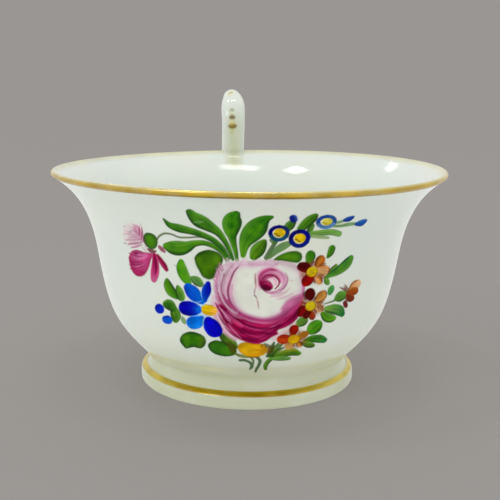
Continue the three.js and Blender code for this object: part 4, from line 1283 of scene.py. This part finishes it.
def paint_rose():
    """The pale bowl of the rose, the crimson petals that hold it, and its heart."""
    spray.take("rose")
    spray.fill([(-5.5, 22.5), (-5.7, 25), (-5.1, 27.2), (-3.6, 28.5), (-1.2, 28.9), (1.6, 28.9),
                (3.8, 29.2), (6.2, 28.9), (8.4, 28.3), (9.6, 26.9), (10.1, 25), (10.3, 22.5),
                (10.1, 20.2), (9, 18.2), (6, 16.6), (0, 16.6), (-4, 18.6), (-5.2, 20.4)],
               (202, 172, 188), (210, 188, 196), soft=.4)
    spray.fill([(-1.9, 27.3), (-2.5, 25.4), (-2.6, 23.2), (-2.1, 21), (-.9, 19.3), (.9, 18.1), (3, 17.6),
                (4.6, 18), (6.3, 19.1), (7.4, 20.6), (8.6, 22), (9.7, 23.2), (9.7, 25.4), (8.8, 27.1),
                (7, 28.1), (4.4, 28.5), (1.8, 28.2), (-.2, 28.1)], (208, 192, 196), WHITE, soft=.9)
    spray.stroke([(-5.6, 20.4, .5), (-5.4, 18.6, .75), (-4.5, 16.5, .9), (-3.5, 14.9, .8),
                  (-2.1, 13.4, .5)], (200, 146, 172), cover=.8, soft=.6, streak=.2)
    spray.stroke([(8.9, 16.5, .3), (7.8, 15.4, .6), (6.3, 14.4, .5), (5, 13.2, .4)], (212, 168, 182),
                 cover=.65, soft=.7)
    spray.stroke([(-6, 21.9, .4), (-6, 20.5, .5)], (212, 170, 190), cover=.7, soft=.5)
    spray.fill([(-5.5, 20.4), (-4.2, 20.4), (-3.2, 19.6), (-1.8, 18.4), (-.2, 17.6), (1.4, 17),
                (3, 16.7), (5, 16.8), (6.8, 17.9), (8.4, 19.6), (9.9, 21.2), (10.3, 20), (9.9, 18.4),
                (8.8, 16.9), (7.3, 15.9), (5.7, 15.2), (5.8, 14.5), (4.7, 13.8), (3.6, 12.9),
                (2.2, 12.3), (.6, 12.5), (-1.1, 13.2), (-2.5, 14.5), (-3.5, 16.1), (-4.5, 17.9)],
               (146, 10, 72), CRIMSON, soft=.45)
    petal([(-2.9, 20.6, .35), (-1.6, 19.1, .55), (.3, 18.1, .55), (2.6, 17.5, .55), (4.6, 17.55, .7),
           (6.3, 18.2, .85), (7.8, 19.4, 1.15), (9.1, 20.8, 1), (10, 22, .5)],
          ((206, 142, 174), (176, 66, 122), (164, 34, 92)), soft=.8, streak=.2)
    spray.stroke([(6.6, 19.7, .4), (8, 20.9, .8), (9.8, 21.7, .65)], (178, 92, 136), cover=.8, soft=.8,
                 streak=.25)
    paint_rose_left()
    paint_rose_folds()
    fine((186, 84, 128), .55, .8, [(-4.4, 19.4), (-3.2, 18.3), (-2, 17.2), (-.8, 16.2)])
    fine(CRIMSON_DARK, .26, .7, [(-5, 20.1), (-3.4, 19), (-1.6, 17.6), (.4, 16.4)],
         [(-3.9, 17.8), (-2.4, 16), (-.8, 14.9), (1.4, 14.6)],
         [(-1.6, 17.5), (.6, 16.2), (3, 15.7), (5, 15.9), (7, 16.7)],
         [(-1.6, 14.2), (.2, 13.3), (2, 12.9)], [(1.6, 15), (3.4, 14.7), (5.2, 14.6)],
         [(7.6, 17.3), (9, 18.5), (9.8, 20)], [(-4.3, 18.3), (-3.2, 16.8), (-2, 15.3)])
    fine((174, 28, 84), .2, .65, [(-2.6, 17.6), (-1.2, 16.4), (.4, 15.5)],
         [(-3, 16.6), (-1.6, 15), (0, 14)], [(.4, 16.9), (2.4, 16.2), (4.4, 16.3)],
         [(-.4, 14.8), (1.2, 14), (3, 13.6)], [(5.4, 16.4), (7, 17.2), (8.4, 18.4)],
         [(1.4, 17), (3.4, 16.6), (5.2, 16.9), (6.8, 18)])
    fine((184, 14, 46), .16, .4, [(-2.7, 17.3), (-1.9, 16.5), (-1.1, 15.8)],
         [(-1.9, 17.5), (-1.2, 16.9)])
    fine((208, 132, 166), .17, .65, [(-4.6, 19), (-3.5, 17.6), (-2.6, 16.7)],
         [(-3.4, 19.3), (-2.2, 18.3), (-.9, 17.7)], [(-3.3, 16.6), (-2.2, 15), (-.9, 13.6)])
    fine((218, 174, 196), .15, .7, [(-5.7, 19.8), (-5, 17.8), (-3.9, 15.8), (-2.7, 14.3)],
         [(-5.2, 19.5), (-4.4, 17.4), (-3.4, 15.7)],
         [(-4.6, 16.6), (-3.4, 14.9), (-2.2, 13.6), (-1, 13)],
         [(-4.9, 19.9), (-3.9, 18.5), (-2.9, 17.3)])
    fine((122, 12, 58), .2, .75, [(-5.6, 20.6), (-4.9, 19.4), (-4, 18.2)],
         [(-5, 18.4), (-4.2, 16.9), (-3.2, 15.6)], [(-3.8, 15.8), (-2.6, 14.5), (-1.4, 13.6)])
    paint_rose_heart()


def paint_rose_left():
    """The petals folded back on the left of the rose."""
    petal([(-4.6, 27.4, .4), (-5.1, 25.8, .6), (-5.1, 23.8, .65), (-4.8, 22, .6)],
          ((204, 174, 192), (210, 182, 198), (202, 164, 184)), soft=.5, streak=.16)
    petal([(-2.6, 27.9, .4), (-3.6, 26, .6), (-4, 24, .65), (-3.9, 22, .65), (-3.2, 20.4, .6),
           (-2, 19, .45)], ((194, 138, 166), (206, 168, 184), (204, 164, 182)), cover=.85, soft=.55,
          streak=.25)
    fine((136, 58, 96), .25, .85,
         [(-1.2, 28.3), (-2.3, 26.8), (-2.9, 25.2), (-3.3, 23.6), (-3.3, 22.3), (-2.9, 21.1),
          (-2.1, 19.9), (-1.1, 18.9)])
    fine((196, 132, 166), .34, .6, [(-2.6, 24.4), (-2.8, 22.6), (-2.4, 20.9), (-1.4, 19.4)],
         [(-4.6, 24.4), (-4.5, 22.8), (-4, 21.4)])
    fine((162, 52, 104), .28, .8, [(-5.2, 22.8), (-4.7, 21.2), (-3.8, 20)],
         [(-4.2, 22.4), (-3.7, 21.1), (-2.8, 19.8)], [(-3.4, 21.4), (-2.8, 20.3), (-1.9, 19.2)])
    fine((146, 80, 112), .15, .75,
         [(-4.5, 27.8), (-5.2, 26.2), (-5.4, 24.4), (-5.2, 22.6), (-4.6, 20.6)],
         [(-3.9, 26.4), (-4.4, 24.8), (-4.5, 23.2), (-4.1, 21.6)])
    fine((140, 84, 92), .18, .75, [(-4.7, 27.2), (-4.3, 27)], [(-4.2, 26.3), (-4.1, 25.9)],
         [(-3.3, 28.1), (-2.6, 27.7)])
    fine((196, 178, 180), .4, .6, [(-1.6, 28.4), (.4, 28.6), (2.4, 28.6)],
         [(5, 28.6), (7.2, 28.2), (8.8, 27.4)])
    fine((204, 156, 182), .5, .7, [(8.9, 27.6), (9.8, 26), (10.1, 24.4), (10.1, 22.8)])
    fine((172, 92, 142), .3, .75, [(10.1, 24.8), (10.3, 23.4), (10.2, 22)])


def paint_rose_folds():
    """Hair lines of light and dark paint that follow the folds of the crimson petals."""
    inner = smooth_line([(-4.2, 19.8), (-1.8, 18.2), (1.4, 16.9), (5, 16.8), (8.2, 19.4), (9.8, 21)], .5)
    outer = smooth_line([(-4, 18), (-2, 14.8), (2.2, 12.6), (4.4, 14.2), (8, 17), (9.9, 20)], .5)
    inner, outer = (spread(line, FOLD_POINTS) for line in (inner, outer))
    for depth in np.linspace(.06, .94, 26):
        start = rng.integers(0, 14)
        line = (inner * (1 - depth) + outer * depth)[start:start + rng.integers(6, 11)]
        line = line + rng.uniform(-.12, .12, 2)
        tint = ((196, 104, 148), (184, 70, 122), (98, 0, 44), (112, 0, 50))[rng.integers(0, 4)]
        fine(tint, rng.uniform(.08, .17), .55, [tuple(point) for point in line[::2]])
    for u in rng.uniform(-3.4, 4.8, 10):
        lean = rng.uniform(-.7, .7)
        spray.stroke([(u, 28.3, .55), (u + lean, 28.8 + rng.uniform(0, .5), .3)], (208, 176, 194),
                     cover=.7, soft=.5)
        fine((196, 140, 172), rng.uniform(.1, .22), .45,
             [(u - lean, 28.5), (u + .6, 28.2), (u + 1.4 + lean, 28.4)])
    for v in np.arange(19.6, 28.2, .5):
        u = -5.75 + .05 * (v - 23.6) ** 2 + rng.uniform(-.25, .15)
        spray.stroke([(u - .1, v + .3, .16), (u + .25, v - .3, .3)], (206, 158, 184), cover=.6, soft=.3)
        tint = ((150, 70, 106), (172, 92, 130), (130, 52, 88))[rng.integers(0, 3)]
        reach = rng.uniform(.5, 1.3)
        fine(tint, .09, .6, [(u - .3, v + .35), (u + .1, v), (u + reach * .7, v - reach)])


def paint_rose_heart():
    """The swirl at the heart of the rose, and the fine lines round it."""
    petal([(2.3, 23.9, .4), (2.1, 25.2, .6), (2.5, 26.6, .7), (3.8, 27.3, .6), (5.2, 27.1, .5),
           (6.2, 26.2, .4), (6.4, 25, .35)], (208, 156, 182), cover=.75, soft=.6)
    petal([(2.3, 24.4, .28), (2.25, 25.6, .44), (2.75, 26.6, .5), (3.8, 27.25, .42), (5, 27.15, .28),
           (5.9, 26.6, .2), (6.5, 25.8, .16), (6.8, 25, .1)],
          ((184, 104, 138), (168, 54, 104), (190, 108, 144)), soft=.4, streak=.3)
    petal([(2.9, 25.7, .4), (3.6, 26.5, .36), (4.8, 26.5, .3), (5.7, 25.8, .24), (6, 24.9, .18)],
          (196, 104, 146), cover=.8, soft=.4, streak=.25)
    petal([(3.4, 25.9, .2), (4.3, 25.6, .36), (4.9, 25, .36), (5, 24.4, .26)],
          ((196, 120, 156), (222, 190, 202), (222, 190, 202)), soft=.3)
    petal([(2.7, 25.2, .42), (3.3, 25.9, .5), (4.3, 26.15, .34)], (170, 62, 112), cover=.85, soft=.4,
          streak=.25)
    petal([(5.4, 27, .28), (6.3, 26.2, .44), (6.8, 25.1, .5), (6.5, 24, .46), (5.6, 23.1, .4),
           (4.5, 22.7, .28)], (202, 142, 174), cover=.75, soft=.4, streak=.25)
    fine((206, 162, 182), .26, .65, [(4.2, 22.2), (5.8, 22.3), (7.2, 23)],
         [(5.4, 21.6), (6.8, 21.9), (8.2, 22.6)])
    fine((122, 20, 62), .22, .9,
         [(2.7, 25.6), (3.4, 26.2), (4.3, 26.25), (5.1, 25.9), (5.7, 25.1), (5.6, 24.3), (5, 23.6)])
    petal([(2.75, 24.8, .55), (3.35, 24.45, .9), (3.95, 24.05, .66)],
          ((150, 30, 82), (134, 0, 54), CRIMSON_DARK), soft=.45, streak=.3)
    fine((190, 84, 128), .1, .7, [(2.5, 25.1), (3.3, 25.2), (4, 24.7)],
         [(2.7, 24.5), (3.4, 24.7), (4.2, 24.2)])
    petal([(2.6, 24, .22), (3.2, 23.5, .3), (4, 23.5, .22)], (72, 6, 34), cover=.85, soft=.3)
    fine((178, 90, 134), .24, .7, [(3.2, 23.1), (4.2, 22.9), (5.2, 23.1)])
    fine((158, 96, 126), .15, .75, [(6.8, 26.6), (7.25, 25.6), (7.1, 24.7), (6.5, 24)],
         [(5.3, 23.3), (6.4, 23.6), (7.1, 24.4)])
    fine((198, 160, 176), .16, .6, [(5, 22.7), (6.6, 22.9), (7.9, 23.8)], [(7.6, 25.2), (8.2, 25)])
    fine((220, 192, 194), .4, .6, [(1.5, 26.6), (1.6, 25.2), (1.6, 23.6)])
    fine((140, 102, 106), .15, .75, [(1.4, 26.5), (1.45, 25.4), (1.6, 24)])
    fine((96, 66, 74), .22, .85, [(1.35, 22.4), (1.7, 22)])
    fine((158, 112, 124), .13, .75, [(1.55, 24), (1.35, 23.2), (1.35, 22.4)],
         [(1.7, 22), (2, 20.9), (2.1, 19.8)])


ENAMEL_SLOTS = {
    "leaf": "enamel_green",
    "stem": "enamel_green",
    "carnation_calyx": "enamel_green",
    "carnation": "enamel_pink",
    "rose": "enamel_pink",
    "anemone": "enamel_blue",
    "forget_me_not": "enamel_blue",
    "berry": "enamel_blue",
    "primrose": "enamel_orange",
    "orange": "enamel_orange",
    "yellow": "enamel_yellow",
}


def enamel_slot(name):
    """The slot of a painted piece, from the first start of its name in the list."""
    return next(slot for start, slot in ENAMEL_SLOTS.items() if name.startswith(start))


def on_spray(u, v, lift):
    """Points and normals of the outer wall where the canvas of the spray lies."""
    return on_wall(u + SPRAY_SHIFT[0], v + SPRAY_SHIFT[1], lift)


paint_fan()
paint_left_leaves()
paint_right_leaves()
paint_foot_of_spray()
paint_carnation()
paint_rose()
paint_anemone()
paint_forget_me_nots()
paint_primroses()
# The spray's pieces carry the gathered glaze and painted shade low down, as the wall beneath does
spray.build(on_spray, enamel, enamel_slot, pool_and_shade_low_down, frame["nodes"])


# Gilding
GOLD = (206, 171, 58)
GOLD_DARK = (168, 132, 22)
GOLD_OLIVE = (132, 104, 40)
# Rim gold, from the band's lower edge on the outer wall, over the lip, to the inside, as (share, colour,
# cover): darker low on the outer face as painted shade, and pale cream over the lip as a painted
# highlight, where the gold also thins out
RIM_GOLD_SHADE_AND_HIGHLIGHT = (
    (0, GOLD_DARK, 1),
    (.2, (188, 150, 32), 1),
    (.345, GOLD, 1),
    (.46, (226, 204, 112), .85),
    (.56, (218, 206, 130), .6),
    (.66, (212, 204, 130), .5),
    (.86, (216, 208, 140), .4),
    (1, (220, 214, 160), .15),
)
FOOT_GOLD = ((0, (164, 130, 14), 1), (.5, (184, 150, 18), 1), (1, (204, 174, 46), 1))
# The foot gold turns paler away from the front as a painted sheen: (azimuth in degrees, share of the
# sheen colour)
FOOT_GOLD_SHEEN = (234, 216, 112)
FOOT_GOLD_SIDE_SHEEN = ((-180, .5), (-95, .7), (-61, .6), (-41, .2), (-20, 0), (5, 0), (16, .15), (32, .55),
                  (55, .75), (90, .7), (180, .5))


def ripple(angle, size):
    """A small wander round the cup, as a steady hand leaves it."""
    turns = enumerate(rng.uniform(0, RIPPLE_TURN, RIPPLE_WAVES), 1)
    return sum(size / k * np.cos(k * angle + turn) for k, turn in turns)


def gilt_band(name, line, wear, stops, side_sheen=((-180, 0), (180, 0))):
    """A band of gold along a line of the surface, with wandering edges, worn spots, and paler parts laid
    on as painted sheen by azimuth.
    """
    angle = np.linspace(-np.pi, np.pi, GILT_SEGMENTS + 1)
    reach = reach_along(line)[:, None]
    out = right_of(line)
    low_edge = GILT_INSET[0] + ripple(angle, GILT_WANDER[0])
    high_edge = reach[-1] - GILT_INSET[1] - ripple(angle, GILT_WANDER[1])
    edge = np.clip(np.minimum(reach - low_edge, high_edge - reach) / GILT_SOFT + 0.5, 0, 1)
    worn = sum(cloud(len(line), len(angle), cells) * share for cells, share in GILT_BLOTCHES)
    places, shades, covers = zip(*stops)
    share = reach / reach[-1]
    rubbed = wear * GILT_WORN_GAIN * np.clip(worn - GILT_WORN_FROM, 0, 1)
    cover = edge * np.interp(share, places, covers) * np.clip(1 - rubbed, 0, 1)
    gold = np.stack([np.interp(share, places, column) for column in zip(*shades)], axis=-1)
    # Painted sheen: paler gold by azimuth round the cup
    pale = np.interp(np.degrees(angle), *zip(*side_sheen))[None, :, None]
    gold = gold * (1 - pale) + np.array(FOOT_GOLD_SHEEN) * pale
    colour = gold * (GILT_TONE[0] + GILT_TONE[1] * cloud(len(line), len(angle), GILT_TONE_CELLS)[...,
                                                                                                 None])

    def lifted(lift):
        return around(line[:, :1] + out[:, :1] * lift, angle[None], line[:, 1:] + out[:, 1:] * lift)

    normal = np.stack([out[:, :1] * np.sin(angle), -out[:, :1] * np.cos(angle), out[:, 1:] + 0 * angle],
                      axis=-1)
    cells = np.ones((len(line) - 1, len(angle) - 1), bool)
    piece = patch(name, lifted(GILT_LIFT), lifted(PAINT_SEAT), normal, to_linear(colour), cover, cells,
                  gilding, "gilding", [name])
    # Gathered glaze and painted shade low down, as on the wall beneath
    set_pool_and_shade(piece, pool_and_shade_low_down(corners_of(piece)))


def part_of(line, start, end, steps):
    """A stretch of a line, between two distances along it, in even steps."""
    reach = reach_along(line)
    places = np.linspace(start, end, steps)
    return np.stack([np.interp(places, reach, column) for column in line.T], axis=1)


rim_line = joined(
    part_of(outer_wall, wall_reach[-1] - RIM_GILT_DEPTH, wall_reach[-1], RIM_GILT_STEPS),
    lip_line,
    part_of(inner_wall[::-1], 0, RIM_GILT_INSIDE, RIM_GILT_STEPS // 2),
)
# Rim gold with painted shade low on the outer face and a painted highlight over the lip
gilt_band("rim_gilding", rim_line, RIM_WEAR, RIM_GOLD_SHADE_AND_HIGHLIGHT)
foot_gilt_start, foot_gilt_end = reach_along(foot_line)[NECK_STEPS] + FOOT_GILT_PLACE
foot_gilt_line = part_of(foot_line, foot_gilt_start, foot_gilt_end, FOOT_GILT_STEPS)
# Foot gold with a painted sheen away from the front
gilt_band("foot_gilding", foot_gilt_line[::-1], FOOT_WEAR, FOOT_GOLD, FOOT_GOLD_SIDE_SHEEN)


# Gold marks up the front of the handle
rim_place = stem_place - STEM_RISE


def on_handle(across, distance, lift):
    """Points of the handle's front face, lifted off it."""
    middle, front, wide, thick, square = handle_frame(distance)
    bulge = np.clip(1 - np.abs(across / wide) ** square, 0, 1) ** (1 / square)
    return behind(across, middle + front * (thick * bulge + lift)[..., None]), None


marks = Canvas(-MARK_REACH, MARK_REACH, rim_place + MARK_START, crest_place, MARK_STEP)


def paint_handle():
    """The gold husks and the mark near the handle's tip."""
    first, second, third = (rim_place + HUSK_FIRST_RISE + k * HUSK_PITCH for k in range(3))
    tip = crest_place - TIP_MARK_FROM_CREST
    marks.take("handle_husk_1")
    marks.stroke([(-.5, first - 1.6, .5), (-.5, first, .8), (-.6, second, .6)], (200, 190, 92),
                 cover=.42, soft=.7)
    marks.stroke([(-1.1, first + .05, .3), (-.45, first, .55), (.3, first + .05, .38)],
                 ((178, 152, 76), (146, 122, 56), (110, 92, 40)), soft=.7)
    marks.take("handle_husk_2")
    marks.stroke([(-.95, second, .24), (-.5, second + .05, .4), (0, second, .28)],
                 ((128, 106, 56), (92, 76, 40)), cover=.85, soft=.6)
    marks.take("handle_husk_3")
    marks.stroke([(-.5, third - 1.4, .3), (-.5, third - .4, .4)], (206, 196, 120), cover=.35, soft=.7)
    marks.stroke([(-.9, third - .4, .18), (-.5, third - .3, .24), (-.1, third - .4, .18)],
                 (122, 116, 92), cover=.5, soft=.5)
    marks.take("handle_tip_mark")
    marks.stroke([(-1, tip - .7, .6), (-.3, tip - .1, .7)], (214, 206, 136), cover=.5, soft=.9)
    for shift in (-.95, -.6, -.25):
        marks.stroke([(shift, tip - .65, .06), (shift + .1, tip - .2, .11),
                      (shift + .04, tip + .3, .06)], GOLD_OLIVE, cover=.45, soft=.3)


paint_handle()
# The handle's marks carry its painted shade at their corners
marks.build(on_handle, gilding, lambda name: "gilding", shade_on_handle, frame["nodes"])


# Stage, light and camera
STAGE_RADIUS = 1.6
STAGE_BEND = 0.7
BACKDROP_COLOUR = (155, 151, 148)
BACKDROP_SHARES = ((0.07, 0.54), (0.16, 0.28), (0.3, 0.08))
LIGHT_ON_BACKDROP = 0.97
TABLE_RADIUS = 0.9
TABLE_DROP = 0.0003
TABLE_COLOUR = (232, 233, 230)
TABLE_LIT = 0.7
TABLE_GLOW = 0.36
WORLD_STRENGTH = 0.78
FLOOR_SEGMENTS = 96
FLOOR_MIDDLE = 0.02
FLAT_STEPS = 90
BEND_STEPS = 23
CLIP_START = 0.01
LAMP_DISTANCE = 0.8
LAMPS = (
    ("lamp_left", -86, 71, (0.14, 0.1), 0.5),
    ("lamp_above", 20, 84, (0.2, 0.1), 0.5),
    ("lamp_behind", -160, 40, (0.1, 0.045), 0.09),
    ("lamp_front", -48, 35, (0.3, 0.2), 0.7),
    ("lamp_right", 110, 60, (0.5, 0.5), 0.22),
)


def add_floor(name, radius, height, material):
    """A round floor about the cup, from distances and heights in metres, from the middle outwards."""
    turn = np.linspace(0, 2 * np.pi, FLOOR_SEGMENTS, endpoint=False)
    corners = [(r * math.cos(a), r * math.sin(a), h) for r, h in zip(radius, height) for a in turn]
    count = len(turn)
    faces = [tuple(range(count))]
    for row in range(len(radius) - 1):
        for a in range(count):
            b = (a + 1) % count
            faces.append((row * count + a, (row + 1) * count + a, (row + 1) * count + b,
                          row * count + b))
    mesh = bpy.data.meshes.new(name)
    mesh.from_pydata(corners, [], faces)
    mesh.polygons.foreach_set("use_smooth", np.ones(len(mesh.polygons), bool))
    mesh.materials.append(material)
    floor = bpy.data.objects.new(name, mesh)
    bpy.context.scene.collection.objects.link(floor)
    return floor


def matt(name, colour):
    """A plain matt surface: the lamps light part of its tone, and the rest glows to keep shade faint."""
    material, tree = new_material(name)
    shader = tree.nodes["Principled BSDF"]
    lit = node(tree, "ShaderNodeAttribute", attribute_name="lit")
    shader.inputs["Roughness"].default_value = 1.0
    shader.inputs["Specular IOR Level"].default_value = 0.0
    shader.inputs["Emission Color"].default_value = (*to_linear(colour), 1)
    glow = node(tree, "ShaderNodeAttribute", attribute_name="glow")
    tree.links.new(lit.outputs["Color"], shader.inputs["Base Color"])
    tree.links.new(glow.outputs["Fac"], shader.inputs["Emission Strength"])
    return material


def set_light_shares(floor, colour, lit, glow):
    """How much of a floor's tone is lit and how much glows, at each of its corners."""
    mesh = floor.data
    tone = np.outer(lit, to_linear(colour))
    base = mesh.attributes.new("lit", "FLOAT_COLOR", "POINT")
    base.data.foreach_set("color", np.column_stack([tone, np.ones(len(lit))]).astype(np.float32).ravel())
    mesh.attributes.new("glow", "FLOAT", "POINT").data.foreach_set("value", np.asarray(glow, np.float32))


def add_stage():
    """A grey backdrop without a horizon, and the pale table that throws light back on the cup."""
    bend = np.linspace(0, np.pi / 2, BEND_STEPS + 1)[1:]
    flat = np.linspace(FLOOR_MIDDLE, STAGE_RADIUS - STAGE_BEND, FLAT_STEPS)
    radius = np.concatenate([flat, STAGE_RADIUS - STAGE_BEND + STAGE_BEND * np.sin(bend)])
    height = np.concatenate([0 * flat, STAGE_BEND - STAGE_BEND * np.cos(bend)])
    backdrop = add_floor("backdrop", radius, height, matt("backdrop_grey", BACKDROP_COLOUR))
    distance = np.array([math.hypot(*corner.co.xy) for corner in backdrop.data.vertices])
    share = np.interp(distance, *zip(*BACKDROP_SHARES))
    set_light_shares(backdrop, BACKDROP_COLOUR, share, 1 - LIGHT_ON_BACKDROP * share)
    backdrop.visible_diffuse = False
    backdrop.visible_glossy = False
    backdrop.visible_shadow = False
    table = add_floor("table", [FLOOR_MIDDLE, TABLE_RADIUS], [-TABLE_DROP, -TABLE_DROP],
                      matt("table_pale", TABLE_COLOUR))
    corners = np.ones(len(table.data.vertices))
    set_light_shares(table, TABLE_COLOUR, corners * TABLE_LIT, corners * TABLE_GLOW)
    table.visible_camera = False


def add_light(name, azimuth, elevation, size, power):
    """A soft rectangular light aimed at the cup, from an azimuth right of the front and an elevation."""
    turn, rise = math.radians(azimuth), math.radians(elevation)
    aim = Vector((0, AXIS_Y, RIM_HEIGHT / 2)) * MM
    way = Vector((math.sin(turn) * math.cos(rise), -math.cos(turn) * math.cos(rise), math.sin(rise)))
    data = bpy.data.lights.new(name, "AREA")
    data.shape = "RECTANGLE"
    data.size, data.size_y = size
    data.energy = power
    light = bpy.data.objects.new(name, data)
    light.location = aim + way * LAMP_DISTANCE
    light.rotation_euler = (-way).to_track_quat("-Z", "Y").to_euler()
    light.visible_camera = False
    bpy.context.scene.collection.objects.link(light)


def add_world():
    """Even white light from all round."""
    world = bpy.data.worlds.new("studio")
    world.use_nodes = True
    background = world.node_tree.nodes["Background"]
    background.inputs["Color"].default_value = (1, 1, 1, 1)
    background.inputs["Strength"].default_value = WORLD_STRENGTH
    bpy.context.scene.world = world


def add_camera():
    """The photograph's camera, in front of the spray."""
    data = bpy.data.cameras.new("camera")
    data.sensor_width = SENSOR_WIDTH
    data.lens = FOCAL_PIXELS / IMAGE_SIZE * SENSOR_WIDTH
    data.clip_start = CLIP_START
    camera = bpy.data.objects.new("camera", data)
    turn = Matrix.Rotation(math.radians(SPRAY_TURN), 4, "Z")
    place = Vector((0, AXIS_Y * MM, 0)) + turn @ Vector((0, -CAMERA_DISTANCE * MM, CAMERA_HEIGHT * MM))
    camera.matrix_world = (
        Matrix.Translation(place)
        @ Matrix.Rotation(math.radians(SPRAY_TURN - CAMERA_YAW), 4, "Z")
        @ Matrix.Rotation(math.radians(90 - CAMERA_PITCH), 4, "X")
        @ Matrix.Rotation(math.radians(CAMERA_ROLL), 4, "Z")
    )
    bpy.context.scene.collection.objects.link(camera)
    bpy.context.scene.camera = camera


add_stage()
add_world()
for lamp in LAMPS:
    add_light(*lamp)
add_camera()
bpy.context.scene.view_settings.view_transform = "Standard"
